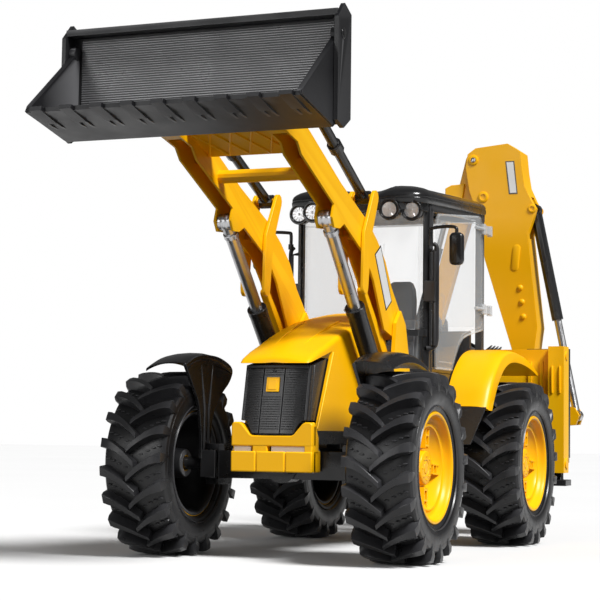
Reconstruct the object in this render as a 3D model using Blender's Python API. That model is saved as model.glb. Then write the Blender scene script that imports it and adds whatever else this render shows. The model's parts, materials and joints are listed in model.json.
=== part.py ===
"""Toy backhoe loader, about 1:16, built as separate named pieces.

Axes: +X is the vehicle's left, -Y its front, +Z up.  Lengths below are in millimetres and turn
into metres when a mesh is made.  The loader is raised, and the digger arm is stowed across the
back, slewed a quarter turn on a carriage that stands at the left end of its rails.
"""
import bpy
import bmesh
from math import cos, sin, pi, radians, hypot, atan2
from mathutils import Vector, Matrix

MM = 0.001
GAP = 0.4                      # clearance between neighbouring pieces

# Driving dimensions
TYRE_R = 57.0
TYRE_W = 42.0
RIM_R = 32.7
HALF_TRACK = 78.0
FRONT_AXLE_Y = -104.0
REAR_AXLE_Y = 114.0
KINGPIN_X = 50.0
LUGS = 14

NOSE_Y = -284.0                # tooth tips of the loader bucket
TAIL_Y = 257.5                 # rear side of the digger bucket
Y_SHIFT = -(NOSE_Y + TAIL_Y) / 2

# Loader linkage, as (y, z)
ARM_PIVOT = (-14.0, 147.0)
ARM_HEAD = (-214.0, 254.0)     # loader bucket on the arms
RAM_TOP = (-123.5, 205.0)
RAM_FOOT = (-28.0, 104.0)
CRANK_PIVOT = (-76.0, 199.0)
CRANK_HEAD = (-62.0, 225.0)
LINK_HEAD = (-212.0, 295.0)
CLAM_HINGE = (-230.8, 291.0)
STAY_FOOT = (-12.0, 115.0)
STAY_TIP = (-64.0, 166.0)
ARM_IN = 27.3
ARM_OUT = 39.1
ARM_MID = (ARM_IN + ARM_OUT) / 2
CRANK_T = 2.2                  # thickness of the bellcrank plates

# Digger linkage, as (x, z), in the plane y = DIG_Y
DIG_Y = 242.0
SWING_X = 80.0
BOOM_FOOT = (54.5, 118.0)
DIP_PIVOT = (14.4, 292.0)
DIG_PIVOT = (-20.0, 166.0)
BOOM_RAM_TOP = (62.0, 252.0)
BOOM_RAM_FOOT = (95.0, 92.0)
DIP_RAM_FOOT = (42.0, 172.0)
DIP_RAM_TOP = (17.0, 256.8)
DIG_RAM_TOP = (-5.8, 268.0)
DIG_RAM_FOOT = (-34.3, 160.8)

YELLOW = ("yellow_plastic", (0.93, 0.52, 0.01), 0.28, 0.0)
BLACK = ("black_plastic", (0.018, 0.018, 0.019), 0.38, 0.0)
RUBBER = ("black_rubber", (0.03, 0.03, 0.032), 0.72, 0.0)
SILVER = ("plated_rod", (0.72, 0.73, 0.75), 0.16, 1.0)
GREY = ("grey_plastic", (0.10, 0.10, 0.11), 0.5, 0.0)
CLEAR = ("clear_plastic", (0.85, 0.88, 0.9), 0.06, 0.0)

for old in list(bpy.data.objects):
    bpy.data.objects.remove(old)


def material(spec):
    """The Principled material of one colour, made once."""
    name, colour, roughness, metallic = spec
    found = bpy.data.materials.get(name)
    if found:
        return found
    made = bpy.data.materials.new(name)
    made.use_nodes = True
    shader = made.node_tree.nodes["Principled BSDF"]
    shader.inputs["Base Color"].default_value = (*colour, 1.0)
    shader.inputs["Roughness"].default_value = roughness
    shader.inputs["Metallic"].default_value = metallic
    return made


def solid(bm):
    """An object from a closed bmesh drawn in millimetres."""
    bmesh.ops.recalc_face_normals(bm, faces=bm.faces)
    mesh = bpy.data.meshes.new("solid")
    bm.to_mesh(mesh)
    bm.free()
    mesh.transform(Matrix.Scale(MM, 4))
    obj = bpy.data.objects.new("solid", mesh)
    bpy.context.collection.objects.link(obj)
    return obj


def skin(loops, cap=True, ring=False):
    """Loops of points joined one to the next; the end loops are capped, or joined as a ring."""
    bm = bmesh.new()
    rows = [[bm.verts.new(p) for p in loop] for loop in loops]
    pairs = list(zip(rows, rows[1:]))
    if ring:
        pairs.append((rows[-1], rows[0]))
    for low, high in pairs:
        for i in range(len(low)):
            j = (i + 1) % len(low)
            bm.faces.new((low[i], low[j], high[j], high[i]))
    if cap and not ring:
        bm.faces.new(rows[0])
        bm.faces.new(rows[-1])
    return solid(bm)


def prism(axis, outline, low, high):
    """An outline pushed from low to high along x, y or z."""
    if axis == "x":
        loops = [[(s, a, b) for a, b in outline] for s in (low, high)]
    elif axis == "y":
        loops = [[(a, s, b) for a, b in outline] for s in (low, high)]
    else:
        loops = [[(a, b, s) for a, b in outline] for s in (low, high)]
    return skin(loops)


def box(low, high):
    """A block between two corners."""
    return prism("z", [(low[0], low[1]), (high[0], low[1]), (high[0], high[1]), (low[0], high[1])],
                 low[2], high[2])


def rod(start, end, radius, steps=14, tip=None):
    """A round bar from start to end, with another radius at its end if tip is given."""
    start = Vector(start)
    end = Vector(end)
    side = (end - start).orthogonal().normalized()
    other = (end - start).normalized().cross(side)
    turns = [2 * pi * i / steps for i in range(steps)]
    loops = []
    for centre, r in ((start, radius), (end, tip or radius)):
        loops.append([centre + (side * cos(t) + other * sin(t)) * r for t in turns])
    return skin(loops)


def pipe(points, radius, steps=8):
    """A round bar along a bent route, mitred at its corners."""
    points = [Vector(p) for p in points]
    loops = []
    across = (points[1] - points[0]).orthogonal().normalized()
    for i, centre in enumerate(points):
        before = points[max(i - 1, 0)]
        after = points[min(i + 1, len(points) - 1)]
        along = (after - before).normalized()
        across = (across - along * across.dot(along)).normalized()
        other = along.cross(across)
        turns = [2 * pi * k / steps for k in range(steps)]
        loops.append([centre + (across * cos(t) + other * sin(t)) * radius for t in turns])
    return skin(loops)


def turned(profile, steps, x0, y0, z0, sign):
    """A closed profile of (along x, radius) turned about the line y0, z0."""
    loops = []
    for k in range(steps):
        t = 2 * pi * k / steps
        loops.append([(x0 + sign * a, y0 + r * cos(t), z0 + r * sin(t)) for a, r in profile])
    return skin(loops, ring=True)


def arc(centre, radius, start, end, count):
    """Points on an arc, its angles in degrees."""
    step = (end - start) / (count - 1)
    angles = [radians(start + step * i) for i in range(count)]
    return [(centre[0] + radius * cos(t), centre[1] + radius * sin(t)) for t in angles]


def bar_outline(a, b, ra, rb, count=6):
    """A flat link's outline, round at both ends."""
    along = atan2(b[1] - a[1], b[0] - a[0]) * 180 / pi
    return arc(a, ra, along + 90, along + 270, count) + arc(b, rb, along - 90, along + 90, count)


def offset_point(a, b, distance):
    """The point at a distance from a toward b."""
    length = hypot(b[0] - a[0], b[1] - a[1])
    return (a[0] + (b[0] - a[0]) * distance / length, a[1] + (b[1] - a[1]) * distance / length)


def combine(base, other, operation):
    """Union or difference of two solids; the second is used up."""
    step = base.modifiers.new("step", "BOOLEAN")
    step.object = other
    step.operation = operation
    view = bpy.context.evaluated_depsgraph_get()
    mesh = bpy.data.meshes.new_from_object(base.evaluated_get(view))
    base.modifiers.clear()
    base.data = mesh
    bpy.data.objects.remove(other)


def piece(name, look, solids, cuts=(), pivot=(0, 0, 0), smooth=False, pins=(), shape=None):
    """One named node: solids fused, cuts taken away, pins fused in, its origin on its pivot."""
    obj = solids[0]
    for other in solids[1:]:
        combine(obj, other, "UNION")
    for other in cuts:
        combine(obj, other, "DIFFERENCE")
    for other in pins:
        combine(obj, other, "UNION")
    if shape:
        shape(obj)
    origin = Vector(pivot) * MM
    obj.data.transform(Matrix.Translation(-origin))
    obj.location = origin + Vector((0, Y_SHIFT * MM, 0))
    obj.name = name
    obj.data.name = name
    obj.data.materials.clear()
    obj.data.materials.append(material(look))
    if smooth:
        obj.data.shade_smooth()
        obj.data.set_sharp_from_angle(angle=radians(38))
    return obj


def yz(x, point):
    """A linkage point (y, z) placed at x."""
    return (x, point[0], point[1])


def xz(y, point):
    """A linkage point (x, z) placed at y."""
    return (point[0], y, point[1])


def span(s, near, far):
    """An interval along x on side s, low end first."""
    return tuple(sorted((s * near, s * far)))


def plate(s, near, far, outline):
    """An outline in y and z pushed between two distances from the centre line on side s."""
    low, high = span(s, near, far)
    return prism("x", outline, low, high)


# ---------------------------------------------------------------- wheels

def tyre(name, s, axle_y):
    """A solid tyre with chevron lugs that alternate on its two halves."""
    base = 51.0
    rows = [(-16.5, 33.1, None, 0), (-20.5, 43.0, None, 0), (-21.0, base, 0, 0), (-6.0, base, 0, 1),
            (6.0, base, 1, 1), (21.0, base, 1, 0), (20.5, 43.0, None, 0), (16.5, 33.1, None, 0)]
    loops = []
    for k in range(LUGS * 4):
        loop = []
        for along, radius, half, lead in rows:
            turn = 2 * pi * (k + 1.4 * lead) / (LUGS * 4)
            if half is not None:
                up = (k + 2 * half) % 4 < 2
                radius = TYRE_R if up else base + 0.6 * lead
            loop.append((s * (HALF_TRACK + along), axle_y + radius * cos(turn),
                         TYRE_R + radius * sin(turn)))
        loops.append(loop)
    centre = (s * HALF_TRACK, axle_y, TYRE_R)
    return piece(name, RUBBER, [skin(loops, ring=True)], pivot=centre)


def rim(name, s, axle_y):
    """A deep-dish rim with a hub, bored from the inner side for its axle stub."""
    profile = [(12.2, 0.01), (12.2, 9.6), (6.8, 10.2), (6.8, 13.5), (13.2, 24.2), (13.2, 29.6),
               (16.5, 30.2), (16.5, RIM_R), (-15.5, RIM_R), (-15.5, 30.0), (11.0, 28.0),
               (11.0, 25.4), (3.6, 13.0), (3.6, 9.0), (-10.0, 8.0), (-10.0, 4.5), (4.5, 4.5),
               (4.5, 0.01)]
    body = turned(profile, 18, s * HALF_TRACK, axle_y, TYRE_R, s)
    fill = rod((s * (HALF_TRACK + 4.9), axle_y, TYRE_R), (s * (HALF_TRACK + 12.6), axle_y, TYRE_R),
               3.0, 8)
    centre = (s * HALF_TRACK, axle_y, TYRE_R)
    return piece(name, YELLOW, [body, fill], pivot=centre, smooth=True)


# ---------------------------------------------------------------- running gear

def front_axle():
    """The oscillating beam, its centre pivot and the forked ends for the kingpins."""
    beam = box((-42, -110, 48.5), (42, -98, 65.5))
    hub = rod((0, -111.5, TYRE_R), (0, -96.5, TYRE_R), 11, 16)
    solids = [beam, hub]
    cuts = [rod((0, -130, TYRE_R), (0, -80, TYRE_R), 3.5, 12)]
    for s in (-1, 1):
        fork = [(s * 39, -99), (s * 39, -109), (s * 48, -109)]
        fork += [(s * x, y) for x, y in arc((KINGPIN_X, FRONT_AXLE_Y), 3.6, -70, 70, 6)]
        fork.append((s * 48, -99))
        for low, high in ((44.5, 48.0), (66.0, 69.5)):
            solids.append(prism("z", fork, low, high))
        x0, x1 = span(s, 39, 43)
        solids.append(box((x0, -109.5, 45), (x1, -98.5, 69)))
        kingpin = (s * KINGPIN_X, FRONT_AXLE_Y)
        cuts.append(rod((*kingpin, 40), (*kingpin, 75), 2.6, 10))
    return piece("front_axle_beam", BLACK, solids, cuts, pivot=(0, FRONT_AXLE_Y, TYRE_R))


def knuckle(name, s):
    """Steering knuckle with kingpin, axle stub, steering arm and the mudguard it carries."""
    x0, x1 = span(s, 45.0, 55.0)
    block = box((x0, -110, 48.6), (x1, -98, 65.4))
    kingpin = rod((s * KINGPIN_X, FRONT_AXLE_Y, 44.5), (s * KINGPIN_X, FRONT_AXLE_Y, 69.4), 2.1, 10)
    stub = rod((s * 54, FRONT_AXLE_Y, TYRE_R), (s * (HALF_TRACK + 4), FRONT_AXLE_Y, TYRE_R), 4.0, 12)
    a0, a1 = span(s, 46.0, 51.0)
    arm = box((a0, -99, 50), (a1, -84, 54.5))
    bracket = plate(s, 54.0, 56.2, [(-134, 117), (-104, 124), (-68, 117), (-94, 98), (-98, 60),
                                    (-110, 60), (-114, 98)])
    top = [(-136, 118.0), (-122, 123.4), (-104, 125.8), (-84, 124.6), (-64, 118.6)]
    under = [(y, z - 2.4) for y, z in reversed(top)]
    guard = plate(s, 54.2, 79.5, top + under)
    return piece(name, BLACK, [block, kingpin, stub, arm, bracket, guard],
                 pivot=(s * KINGPIN_X, FRONT_AXLE_Y, TYRE_R))


def tie_rod():
    """The bar that keeps both front wheels in line."""
    bar = box((-51, -89.4, 55.0), (51, -85.4, 58.5))
    relief = box((-43, -92, 53), (43, -80, 56.2))
    return piece("tie_rod", BLACK, [bar], [relief], pivot=(0, -87.4, 56.75))


def rear_axle():
    """Fixed rear axle with its differential bulge and two wheel stubs."""
    beam = box((-55.5, 106, 49), (55.5, 122, 65))
    bulge = rod((-14, REAR_AXLE_Y, TYRE_R), (14, REAR_AXLE_Y, TYRE_R), 12.5, 16)
    reach = HALF_TRACK + 4
    stubs = rod((-reach, REAR_AXLE_Y, TYRE_R), (reach, REAR_AXLE_Y, TYRE_R), 4.0, 12)
    return piece("rear_axle", BLACK, [beam, bulge, stubs])


def chassis():
    """Ladder frame: two rails, cross members and the brackets of the front axle's pivot."""
    solids = [box((-21.9, -119, 71), (21.9, -88, 82))]
    for s in (-1, 1):
        x0, x1 = span(s, 13, 21.9)
        solids.append(box((x0, -118, 70), (x1, 197.6, 82.4)))
    for low, high in ((-44, -32), (30, 42), (104, 124), (180, 197.6)):
        solids.append(box((-21, low, 71), (21, high, 82)))
    for low, high in ((-117, -113), (-94.5, -90.5)):
        solids.append(prism("y", [(-9, 75), (-7, 52), (7, 52), (9, 75)], low, high))
    solids.append(rod((0, -117, TYRE_R), (0, -90.5, TYRE_R), 3.0, 10))
    return piece("chassis_frame", BLACK, solids)


def bumper():
    """Front counterweight: eared face, a slot with a tab, and sides that turn back."""
    face = [(-26.5, 53), (26.5, 53), (26.5, 83), (19.5, 83), (13, 75), (-13, 75), (-19.5, 83),
            (-26.5, 83)]
    solids = [prism("y", face, -127, -120.5)]
    for s in (-1, 1):
        solids.append(plate(s, 24.3, 26.5, [(-124, 53), (-113, 53), (-113, 77), (-124, 83)]))
    cuts = [box((-23, -130, 65.6), (-6, -110, 68.2)), box((5, -130, 65.6), (23, -110, 68.2))]
    for x in (-10, 9):
        cuts.append(box((x - 0.5, -128, 50), (x + 0.5, -126.2, 62)))
    return piece("front_bumper", YELLOW, solids, cuts)


# ---------------------------------------------------------------- bonnet

def hood_section(y, half, top, bottom, wall):
    """One bow of the bonnet: down the left side, round the crown, and back inside it."""
    outer = [(half, bottom), (half, top - 9), (half - 2.5, top - 3), (half - 9, top + 1),
             (0, top + 3)]
    inner = [(half - wall, bottom), (half - wall, top - 9.5), (half - wall - 2, top - 4.5),
             (half - 9.5, top + 1 - wall), (0, top + 3 - wall)]
    path = outer + [(-x, z) for x, z in reversed(outer[:-1])]
    back = inner + [(-x, z) for x, z in reversed(inner[:-1])]
    return [(x, y, z) for x, z in path + back[::-1]]


def hood():
    """The bonnet shell; its front corners are cut away over the black nose."""
    stations = [(-124.5, 23.4, 119.8), (-119, 23.8, 122.5), (-88, 24.2, 133.5), (-66, 24.2, 141),
                (-43, 24.2, 147.5), (-9, 24.2, 153.5)]
    shell = skin([hood_section(y, half, top, 78.0, 1.8) for y, half, top in stations])
    corner = prism("x", [(-130, 118.6), (-124, 118.6), (-89, 127), (-114, 76), (-130, 70)], -30, 30)
    notch = box((-30, -31, 70), (30, 0, 91))
    return piece("hood", YELLOW, [shell], [corner, notch], pivot=(0, -9, 150))


def nose():
    """The black grille panel with its two side cheeks."""
    front = prism("y", [(-21.7, 83.6), (-18, 83.6), (-13, 76), (13, 76), (18, 83.6), (21.7, 83.6),
                        (21.3, 117.8), (-21.3, 117.8)], -123, -119.8)
    solids = [front]
    for s in (-1, 1):
        solids.append(plate(s, 19.8, 21.7, [(-121, 84), (-108.5, 84), (-90.6, 122.6), (-122, 117.6)]))
    cuts = [box((x - 0.5, -124, 78), (x + 0.5, -122.3, 115)) for x in (-9, 5)]
    return piece("front_grille", BLACK, solids, cuts)


def engine():
    """Engine block with a rocker cover, a pulley and four side ribs."""
    solids = [box((-14, -96, 82.8), (14, -34, 116)), box((-8, -90, 115), (8, -42, 124)),
              rod((0, -102, 98), (0, -95, 98), 8, 12)]
    for k in range(4):
        y = -90 + 14 * k
        solids.append(box((-16.5, y, 88), (16.5, y + 5, 112)))
    return piece("engine_block", GREY, solids)


def towers():
    """Loader posts: forked plates on both sides, joined by beams across the chassis."""
    lugs = [(-36, 100), (-36, 110), (-27, 124), (-23, 148), (-14, 156.5), (-5, 148), (3, 124), (6, 84),
            (-24, 84)]
    solids = [box((-42, -27, 83.0), (42, -4, 89))]
    for s in (-1, 1):
        for near, far in ((24.6, 26.9), (39.5, 42.0)):
            solids.append(plate(s, near, far, lugs))
        for point, radius in ((ARM_PIVOT, 3.0), (RAM_FOOT, 2.4), (STAY_FOOT, 2.0)):
            solids.append(rod(yz(s * 25, point), yz(s * 41.5, point), radius, 10))
    return piece("loader_towers", YELLOW, solids)


# ---------------------------------------------------------------- cab

CAB_HALF = 48.5
HEAD_RISE = 0.051              # how fast the cab's head climbs toward the rear


def cab_outline(inset, rear):
    """The cab in plan: a bowed front, straight sides and a straight back."""
    bow = [(47.5, 25), (41, 16), (28, 7.5), (0, 2.5)]
    points = []
    for x, y in bow:
        length = hypot(x, 40)
        points.append((x - inset * x / length, y + inset * 40 / length))
    left = [(CAB_HALF - inset, rear - inset), (CAB_HALF - inset, 30)] + points
    return left + [(-x, y) for x, y in reversed(left[:-1])]


def raise_rear(obj):
    """Lifts the head of a cab solid toward the rear, by nothing at sill height."""
    for v in obj.data.vertices:
        share = min(1.0, max(0.0, (v.co.z / MM - 150.0) / 72.0))
        v.co.z += HEAD_RISE * share * (v.co.y - 25.0 * MM)


def cab_ring(low, high, depth):
    """A hoop that follows the cab's plan, with its cutter."""
    return prism("z", cab_outline(0, 150), low, high), prism("z", cab_outline(depth, 150), low - 5,
                                                              high + 5)


def cab_tub():
    """Floor, front bulkhead, rear wall, low side walls, dashboard and steering column."""
    hoop, core = cab_ring(89.5, 118, 3.2)
    combine(hoop, core, "DIFFERENCE")
    solids = [hoop, prism("z", cab_outline(0.2, 150), 83.0, 90.0)]
    solids.append(box((-40, 141.6, 88), (40, 145.4, 152)))
    solids.append(box((-20, 16, 89), (20, 26, 136)))
    solids.append(rod((0, 22, 126), (0, 38.6, 142.6), 3.2, 10))
    solids.append(box((-12, 76, 89), (12, 96, 103)))
    for s in (-1, 1):
        solids.append(plate(s, 43, CAB_HALF, [(52, 66), (70, 66), (70, 90), (46, 90)]))
    cuts = [box((-42.5, -29, 80), (42.5, 6.8, 140))]
    return piece("cab_tub", BLACK, solids, cuts)


def cab_frame():
    """Sill and head hoops with four posts; the glazing and the doors close it."""
    solids = []
    cuts = []
    for low, high, depth in ((118.4, 121.5, 4.0), (226.5, 231.2, 4.0)):
        hoop, core = cab_ring(low, high, depth)
        solids.append(hoop)
        cuts.append(core)
    for s in (-1, 1):
        front = [(s * 47.9, 25.6), (s * 48.3, 31.5), (s * 45.0, 31.5), (s * 43.6, 24.0),
                 (s * 45.0, 22.2)]
        rear = [(s * 48.3, 143.5), (s * 48.3, 149.8), (s * 43.5, 149.8), (s * 43.5, 143.5)]
        solids += [prism("z", front, 119, 230), prism("z", rear, 119, 230)]
        solids.append(pipe([(s * 47, 28, 200), (s * 52, 24, 199), (s * 52, 24, 136),
                            (s * 47, 28, 134)], 1.5))
    hoop = solids[0]
    combine(hoop, cuts[0], "DIFFERENCE")
    combine(solids[1], cuts[1], "DIFFERENCE")
    return piece("cab_frame", BLACK, solids, shape=raise_rear)


def roof():
    """Domed roof shell with four lamp pods under its brow."""
    def level(inset, z):
        return [(x, y, z) for x, y in cab_outline(inset, 150)]
    shell = skin([level(-1.5, 231.7), level(-1.5, 239), level(4, 245), level(16, 249.5)])
    hollow = skin([level(1.0, 228), level(1.0, 238), level(6, 242.5), level(18, 247)])
    combine(shell, hollow, "DIFFERENCE")
    pods = []
    for s in (-1, 1):
        for x, y in ((27.5, 7.5), (40.5, 15.5)):
            pods.append(rod((s * x, y - 7.5, 225), (s * x, y + 3.0, 225), 6.6, 14))
            pods.append(box((s * x - 4, y - 6.5, 229), (s * x + 4, y + 2.0, 234)))
    back = prism("z", cab_outline(-0.3, 150), 216, 231.4)
    return piece("cab_roof", BLACK, [shell] + pods, [back], shape=raise_rear)


def glazing():
    """Clear windscreen, ceiling strip and rear window in one moulding."""
    outer = prism("z", cab_outline(4.4, 150), 122.3, 226.0)
    inner = prism("z", cab_outline(5.6, 150), 120, 224.6)
    combine(outer, inner, "DIFFERENCE")
    cuts = []
    for s in (-1, 1):
        x0, x1 = span(s, 30, 60)
        cuts.append(box((x0, 40, 110), (x1, 139, 240)))
        x0, x1 = span(s, 42.0, 60)
        cuts.append(box((x0, 18, 110), (x1, 41, 240)))
        cuts.append(box((x0, 138, 110), (x1, 152, 240)))
    cuts.append(box((-60, 138, 110), (60, 152, 155)))
    return piece("cab_glazing", CLEAR, [outer], cuts, shape=raise_rear)


def door(name, s):
    """Clear side door hinged on the rear post, with two hinge tabs."""
    outline = [(33, 120), (33, 222), (38, 225.5), (130, 229.8), (138, 225), (142.5, 200),
               (142.5, 152), (118, 149), (92, 144.5), (77, 132), (67, 120)]
    panel = plate(s, 49.0, 50.6, outline)
    tabs = []
    for low, high in ((163, 169), (216, 222)):
        tabs.append(plate(s, 49.1, 52.5, [(138, low), (151.5, low), (151.5, high), (138, high)]))
    return piece(name, CLEAR, [panel] + tabs, pivot=(s * 50.8, 150, 170), shape=raise_rear)


def seat():
    """Driver's seat with a raked back."""
    cushion = box((-14, 70, 103.6), (14, 98, 113))
    back = prism("x", [(92, 108), (99, 108), (106, 156), (100, 158)], -12.5, 12.5)
    return piece("seat", BLACK, [cushion, back])


def steering_wheel():
    """Rim, two spokes and hub, tilted to the column."""
    ring = []
    for k in range(16):
        t = 2 * pi * k / 16
        loop = []
        for j in range(6):
            u = 2 * pi * j / 6
            r = 12 + 1.5 * cos(u)
            loop.append((r * cos(t), r * sin(t), 1.5 * sin(u)))
        ring.append(loop)
    solids = [skin(ring, ring=True), rod((-12, 0, 0), (12, 0, 0), 1.1, 6),
              rod((0, 0, -2.6), (0, 0, 2.2), 3.2, 8)]
    turn = Matrix.Rotation(radians(-45), 4, "X")
    for part in solids:
        part.data.transform(turn)
        part.data.transform(Matrix.Translation(Vector((0, 41.6, 145.6)) * MM))
    return piece("steering_wheel", BLACK, solids, pivot=(0, 41.6, 145.6))


def fender(name, s):
    """Rear mudguard, thick at its front lip and thin toward its tail."""
    outer = [(57, 96), (66, 111), (78, 123), (96, 133.5), (120, 137), (150, 134), (172, 128.5),
             (188, 122.5)]
    inner = [(186, 120.5), (170, 124.0), (147, 127), (120, 128), (101, 124), (86, 113.5),
             (75, 101), (69, 93)]
    return piece(name, YELLOW, [plate(s, 49.2, 79, outer + inner)])


def mirror(name, s):
    """Mirror head on a bent wire arm that turns on the front post."""
    arm = pipe([(s * 50.5, 19, 206), (s * 50.5, 19, 214), (s * 66, 13, 214), (s * 71, 12, 208)], 1.2, 6)
    head = box((min(s * 66, s * 76), 10, 188), (max(s * 66, s * 76), 15, 210))
    return piece(name, BLACK, [arm, head], pivot=(s * 50.5, 19, 210))


# ---------------------------------------------------------------- loader

ARM_TOP = [(-206, 261.5), (-167.5, 251.3), (-116, 227), (-98, 220), (-68.5, 208.4), (-52, 198.6),
           (-37, 187), (-25, 171), (-6, 154)]
ARM_LOW = [(-38, 143), (-58, 173), (-73, 187), (-110, 203), (-117, 199.5), (-126, 199), (-130, 205),
           (-127, 213), (-178, 235.5), (-184, 242), (-207, 247)]


def loader_arms():
    """Both channel arms with their cross panel and cross tube."""
    outline = ARM_TOP + arc(ARM_PIVOT, 9.5, 20, -100, 6) + ARM_LOW + arc(ARM_HEAD, 7.5, 230, 110, 6)
    hollow = [(y, z - 2.2) for y, z in ARM_TOP[1:-1]] + [(-30, 120), (-200, 190), (-196, 255)]
    solids = []
    cuts = []
    for s in (-1, 1):
        solids.append(plate(s, ARM_IN, ARM_OUT, outline))
        cuts.append(plate(s, ARM_IN + 1.4, ARM_OUT - 1.4, hollow))
        low, high = span(s, 20, 60)
        for point, radius in ((ARM_PIVOT, 3.5), (ARM_HEAD, 3.0), (CRANK_PIVOT, 2.8)):
            cuts.append(rod(yz(low, point), yz(high, point), radius, 12))
    solids.append(rod((-28, -146, 229.5), (28, -146, 229.5), 4.0, 12))
    solids.append(prism("x", [(-193, 250), (-161, 239.5), (-160, 242.5), (-192, 253)], -28, 28))
    return piece("loader_arms", YELLOW, solids, cuts, pivot=yz(0, ARM_PIVOT))


def ram(names, s, x, foot, top, joint, radii, foot_width):
    """A lift ram in the plane of x: barrel from its foot to joint, rod from top back inside it."""
    barrel_r, rod_r, eye_r = radii
    length = hypot(top[0] - foot[0], top[1] - foot[1])
    neck = offset_point(foot, top, 18)
    mouth = offset_point(foot, top, joint)
    barrel = [rod(yz(x, offset_point(foot, top, 5)), yz(x, neck), foot_width / 2, 12),
              rod(yz(x, offset_point(foot, top, 17)), yz(x, mouth), barrel_r, 16),
              rod(yz(x - foot_width / 2, foot), yz(x + foot_width / 2, foot), 6.5, 14)]
    bore = rod(yz(x, offset_point(foot, top, 20)), yz(x, offset_point(foot, top, joint + 9)),
               rod_r + GAP, 12)
    pin = rod(yz(x - 10, foot), yz(x + 10, foot), 2.9, 10)
    piece(names[0], BLACK, barrel, [bore, pin], pivot=yz(x, foot), smooth=True)
    stem = [rod(yz(x, offset_point(foot, top, joint - 6.3)), yz(x, offset_point(foot, top, length - 1)),
                rod_r, 12),
            rod(yz(x - 4.1, top), yz(x + 4.1, top), eye_r, 14)]
    piece(names[1], SILVER, stem, pivot=yz(x, top), smooth=True)


def bellcrank(name, s):
    """Two plates on one arm, joined by the pins of the pivot and of the tilt link."""
    tail = (-79.0, 167.0)
    outline = bar_outline(CRANK_HEAD, CRANK_PIVOT, 4.6, 6.0)
    lower = bar_outline(CRANK_PIVOT, tail, 6.0, 4.5)
    solids = []
    for near in (ARM_IN - GAP - CRANK_T, ARM_OUT + GAP):
        solids.append(plate(s, near, near + CRANK_T, outline))
        solids.append(plate(s, near, near + CRANK_T, lower))
    for point, radius in ((CRANK_PIVOT, 2.3), (CRANK_HEAD, 2.2)):
        solids.append(rod(yz(s * (ARM_IN - 2), point), yz(s * (ARM_OUT + 2), point), radius, 10))
    return piece(name, YELLOW, solids, pivot=yz(s * ARM_MID, CRANK_PIVOT))


def tilt_link(name, s):
    """Black link from the bellcrank to the bucket, with a collar, bored at its lower eye."""
    low = Vector(yz(s * ARM_MID, CRANK_HEAD))
    high = Vector(yz(s * 37.0, LINK_HEAD))
    along = high - low
    solids = [rod(low + along * 0.02, high - along * 0.01, 3.3, 12),
              rod(low + along * 0.33, low + along * 0.37, 4.6, 12),
              rod(low - Vector((4.4, 0, 0)), low + Vector((4.4, 0, 0)), 4.4, 12),
              rod(high - Vector((2.4, 0, 0)), high + Vector((2.4, 0, 0)), 3.9, 12)]
    bore = rod(low - Vector((9, 0, 0)), low + Vector((9, 0, 0)), 2.7, 10)
    return piece(name, BLACK, solids, [bore], pivot=tuple(low), smooth=True)


def tilt_stay(name, s):
    """Flat stay from the loader post up into the arm's channel."""
    low, high = span(s, ARM_MID - 2.4, ARM_MID + 2.4)
    bar = prism("x", bar_outline(STAY_FOOT, STAY_TIP, 4.6, 2.2), low, high)
    bore = rod(yz(low - 5, STAY_FOOT), yz(high + 5, STAY_FOOT), 2.5, 10)
    return piece(name, YELLOW, [bar], [bore], pivot=yz(s * ARM_MID, STAY_FOOT))


def bucket_back():
    """Back blade of the loader bucket: wall, top rail, cheeks, and lugs for arms and links."""
    cheek = [(-219, 303.5), (-229, 308), (-238, 299), (-238.5, 243), (-229, 240), (-219, 246)]
    solids = [box((-83, -226.4, 243), (83, -223.6, 304)), box((-83, -236, 300.5), (83, -222, 304))]
    cuts = []
    for s in (-1, 1):
        solids.append(plate(s, 82.2, 84.6, cheek))
        for near, far in ((24.4, 26.9), (39.5, 42.0)):
            solids.append(plate(s, near, far, bar_outline(ARM_HEAD, (-218, 256), 6.5, 7.0)))
        for near, far in ((31.0, 33.5), (40.3, 42.8)):
            solids.append(plate(s, near, far, bar_outline(LINK_HEAD, (-218.5, 294), 5.0, 6.0)))
        solids.append(rod(yz(s * 25, ARM_HEAD), yz(s * 41.5, ARM_HEAD), 2.6, 10))
        cuts.append(rod(yz(s * 78, CLAM_HINGE), yz(s * 90, CLAM_HINGE), 2.9, 10))
    return piece("bucket_back_blade", BLACK, solids, cuts, pivot=yz(0, ARM_HEAD))


def bucket_clam():
    """Opening jaw of the loader bucket: toothed floor and two side plates on hinge studs."""
    side = [(-228, 285), (-229, 293), (-236, 287), (-279, 253), (-281, 249.5), (-238, 240.2),
            (-229, 244)]
    floor = [(-281, 248.8), (-236, 239.6), (-229, 243.5), (-229, 246.5), (-236, 242.4), (-281, 251.2)]
    solids = [prism("x", floor, -81.0, 81.0)]
    for s in (-1, 1):
        solids.append(plate(s, 78.6, 81.8, side))
        solids.append(plate(s, 78.4, 81.9, arc(CLAM_HINGE, 3.8, 0, 330, 12)))
        solids.append(rod(yz(s * 79, CLAM_HINGE), yz(s * 84.2, CLAM_HINGE), 2.3, 10))
    for k in range(9):
        x = -73.6 + 18.4 * k
        tooth = [(NOSE_Y, 249.2), (-266, 244.6), (-266, 249.6), (NOSE_Y + 0.5, 251.6)]
        solids.append(prism("x", tooth, x - 3.6, x + 3.6))
    return piece("bucket_clam", BLACK, solids, pivot=yz(0, CLAM_HINGE))


# ---------------------------------------------------------------- digger

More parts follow.
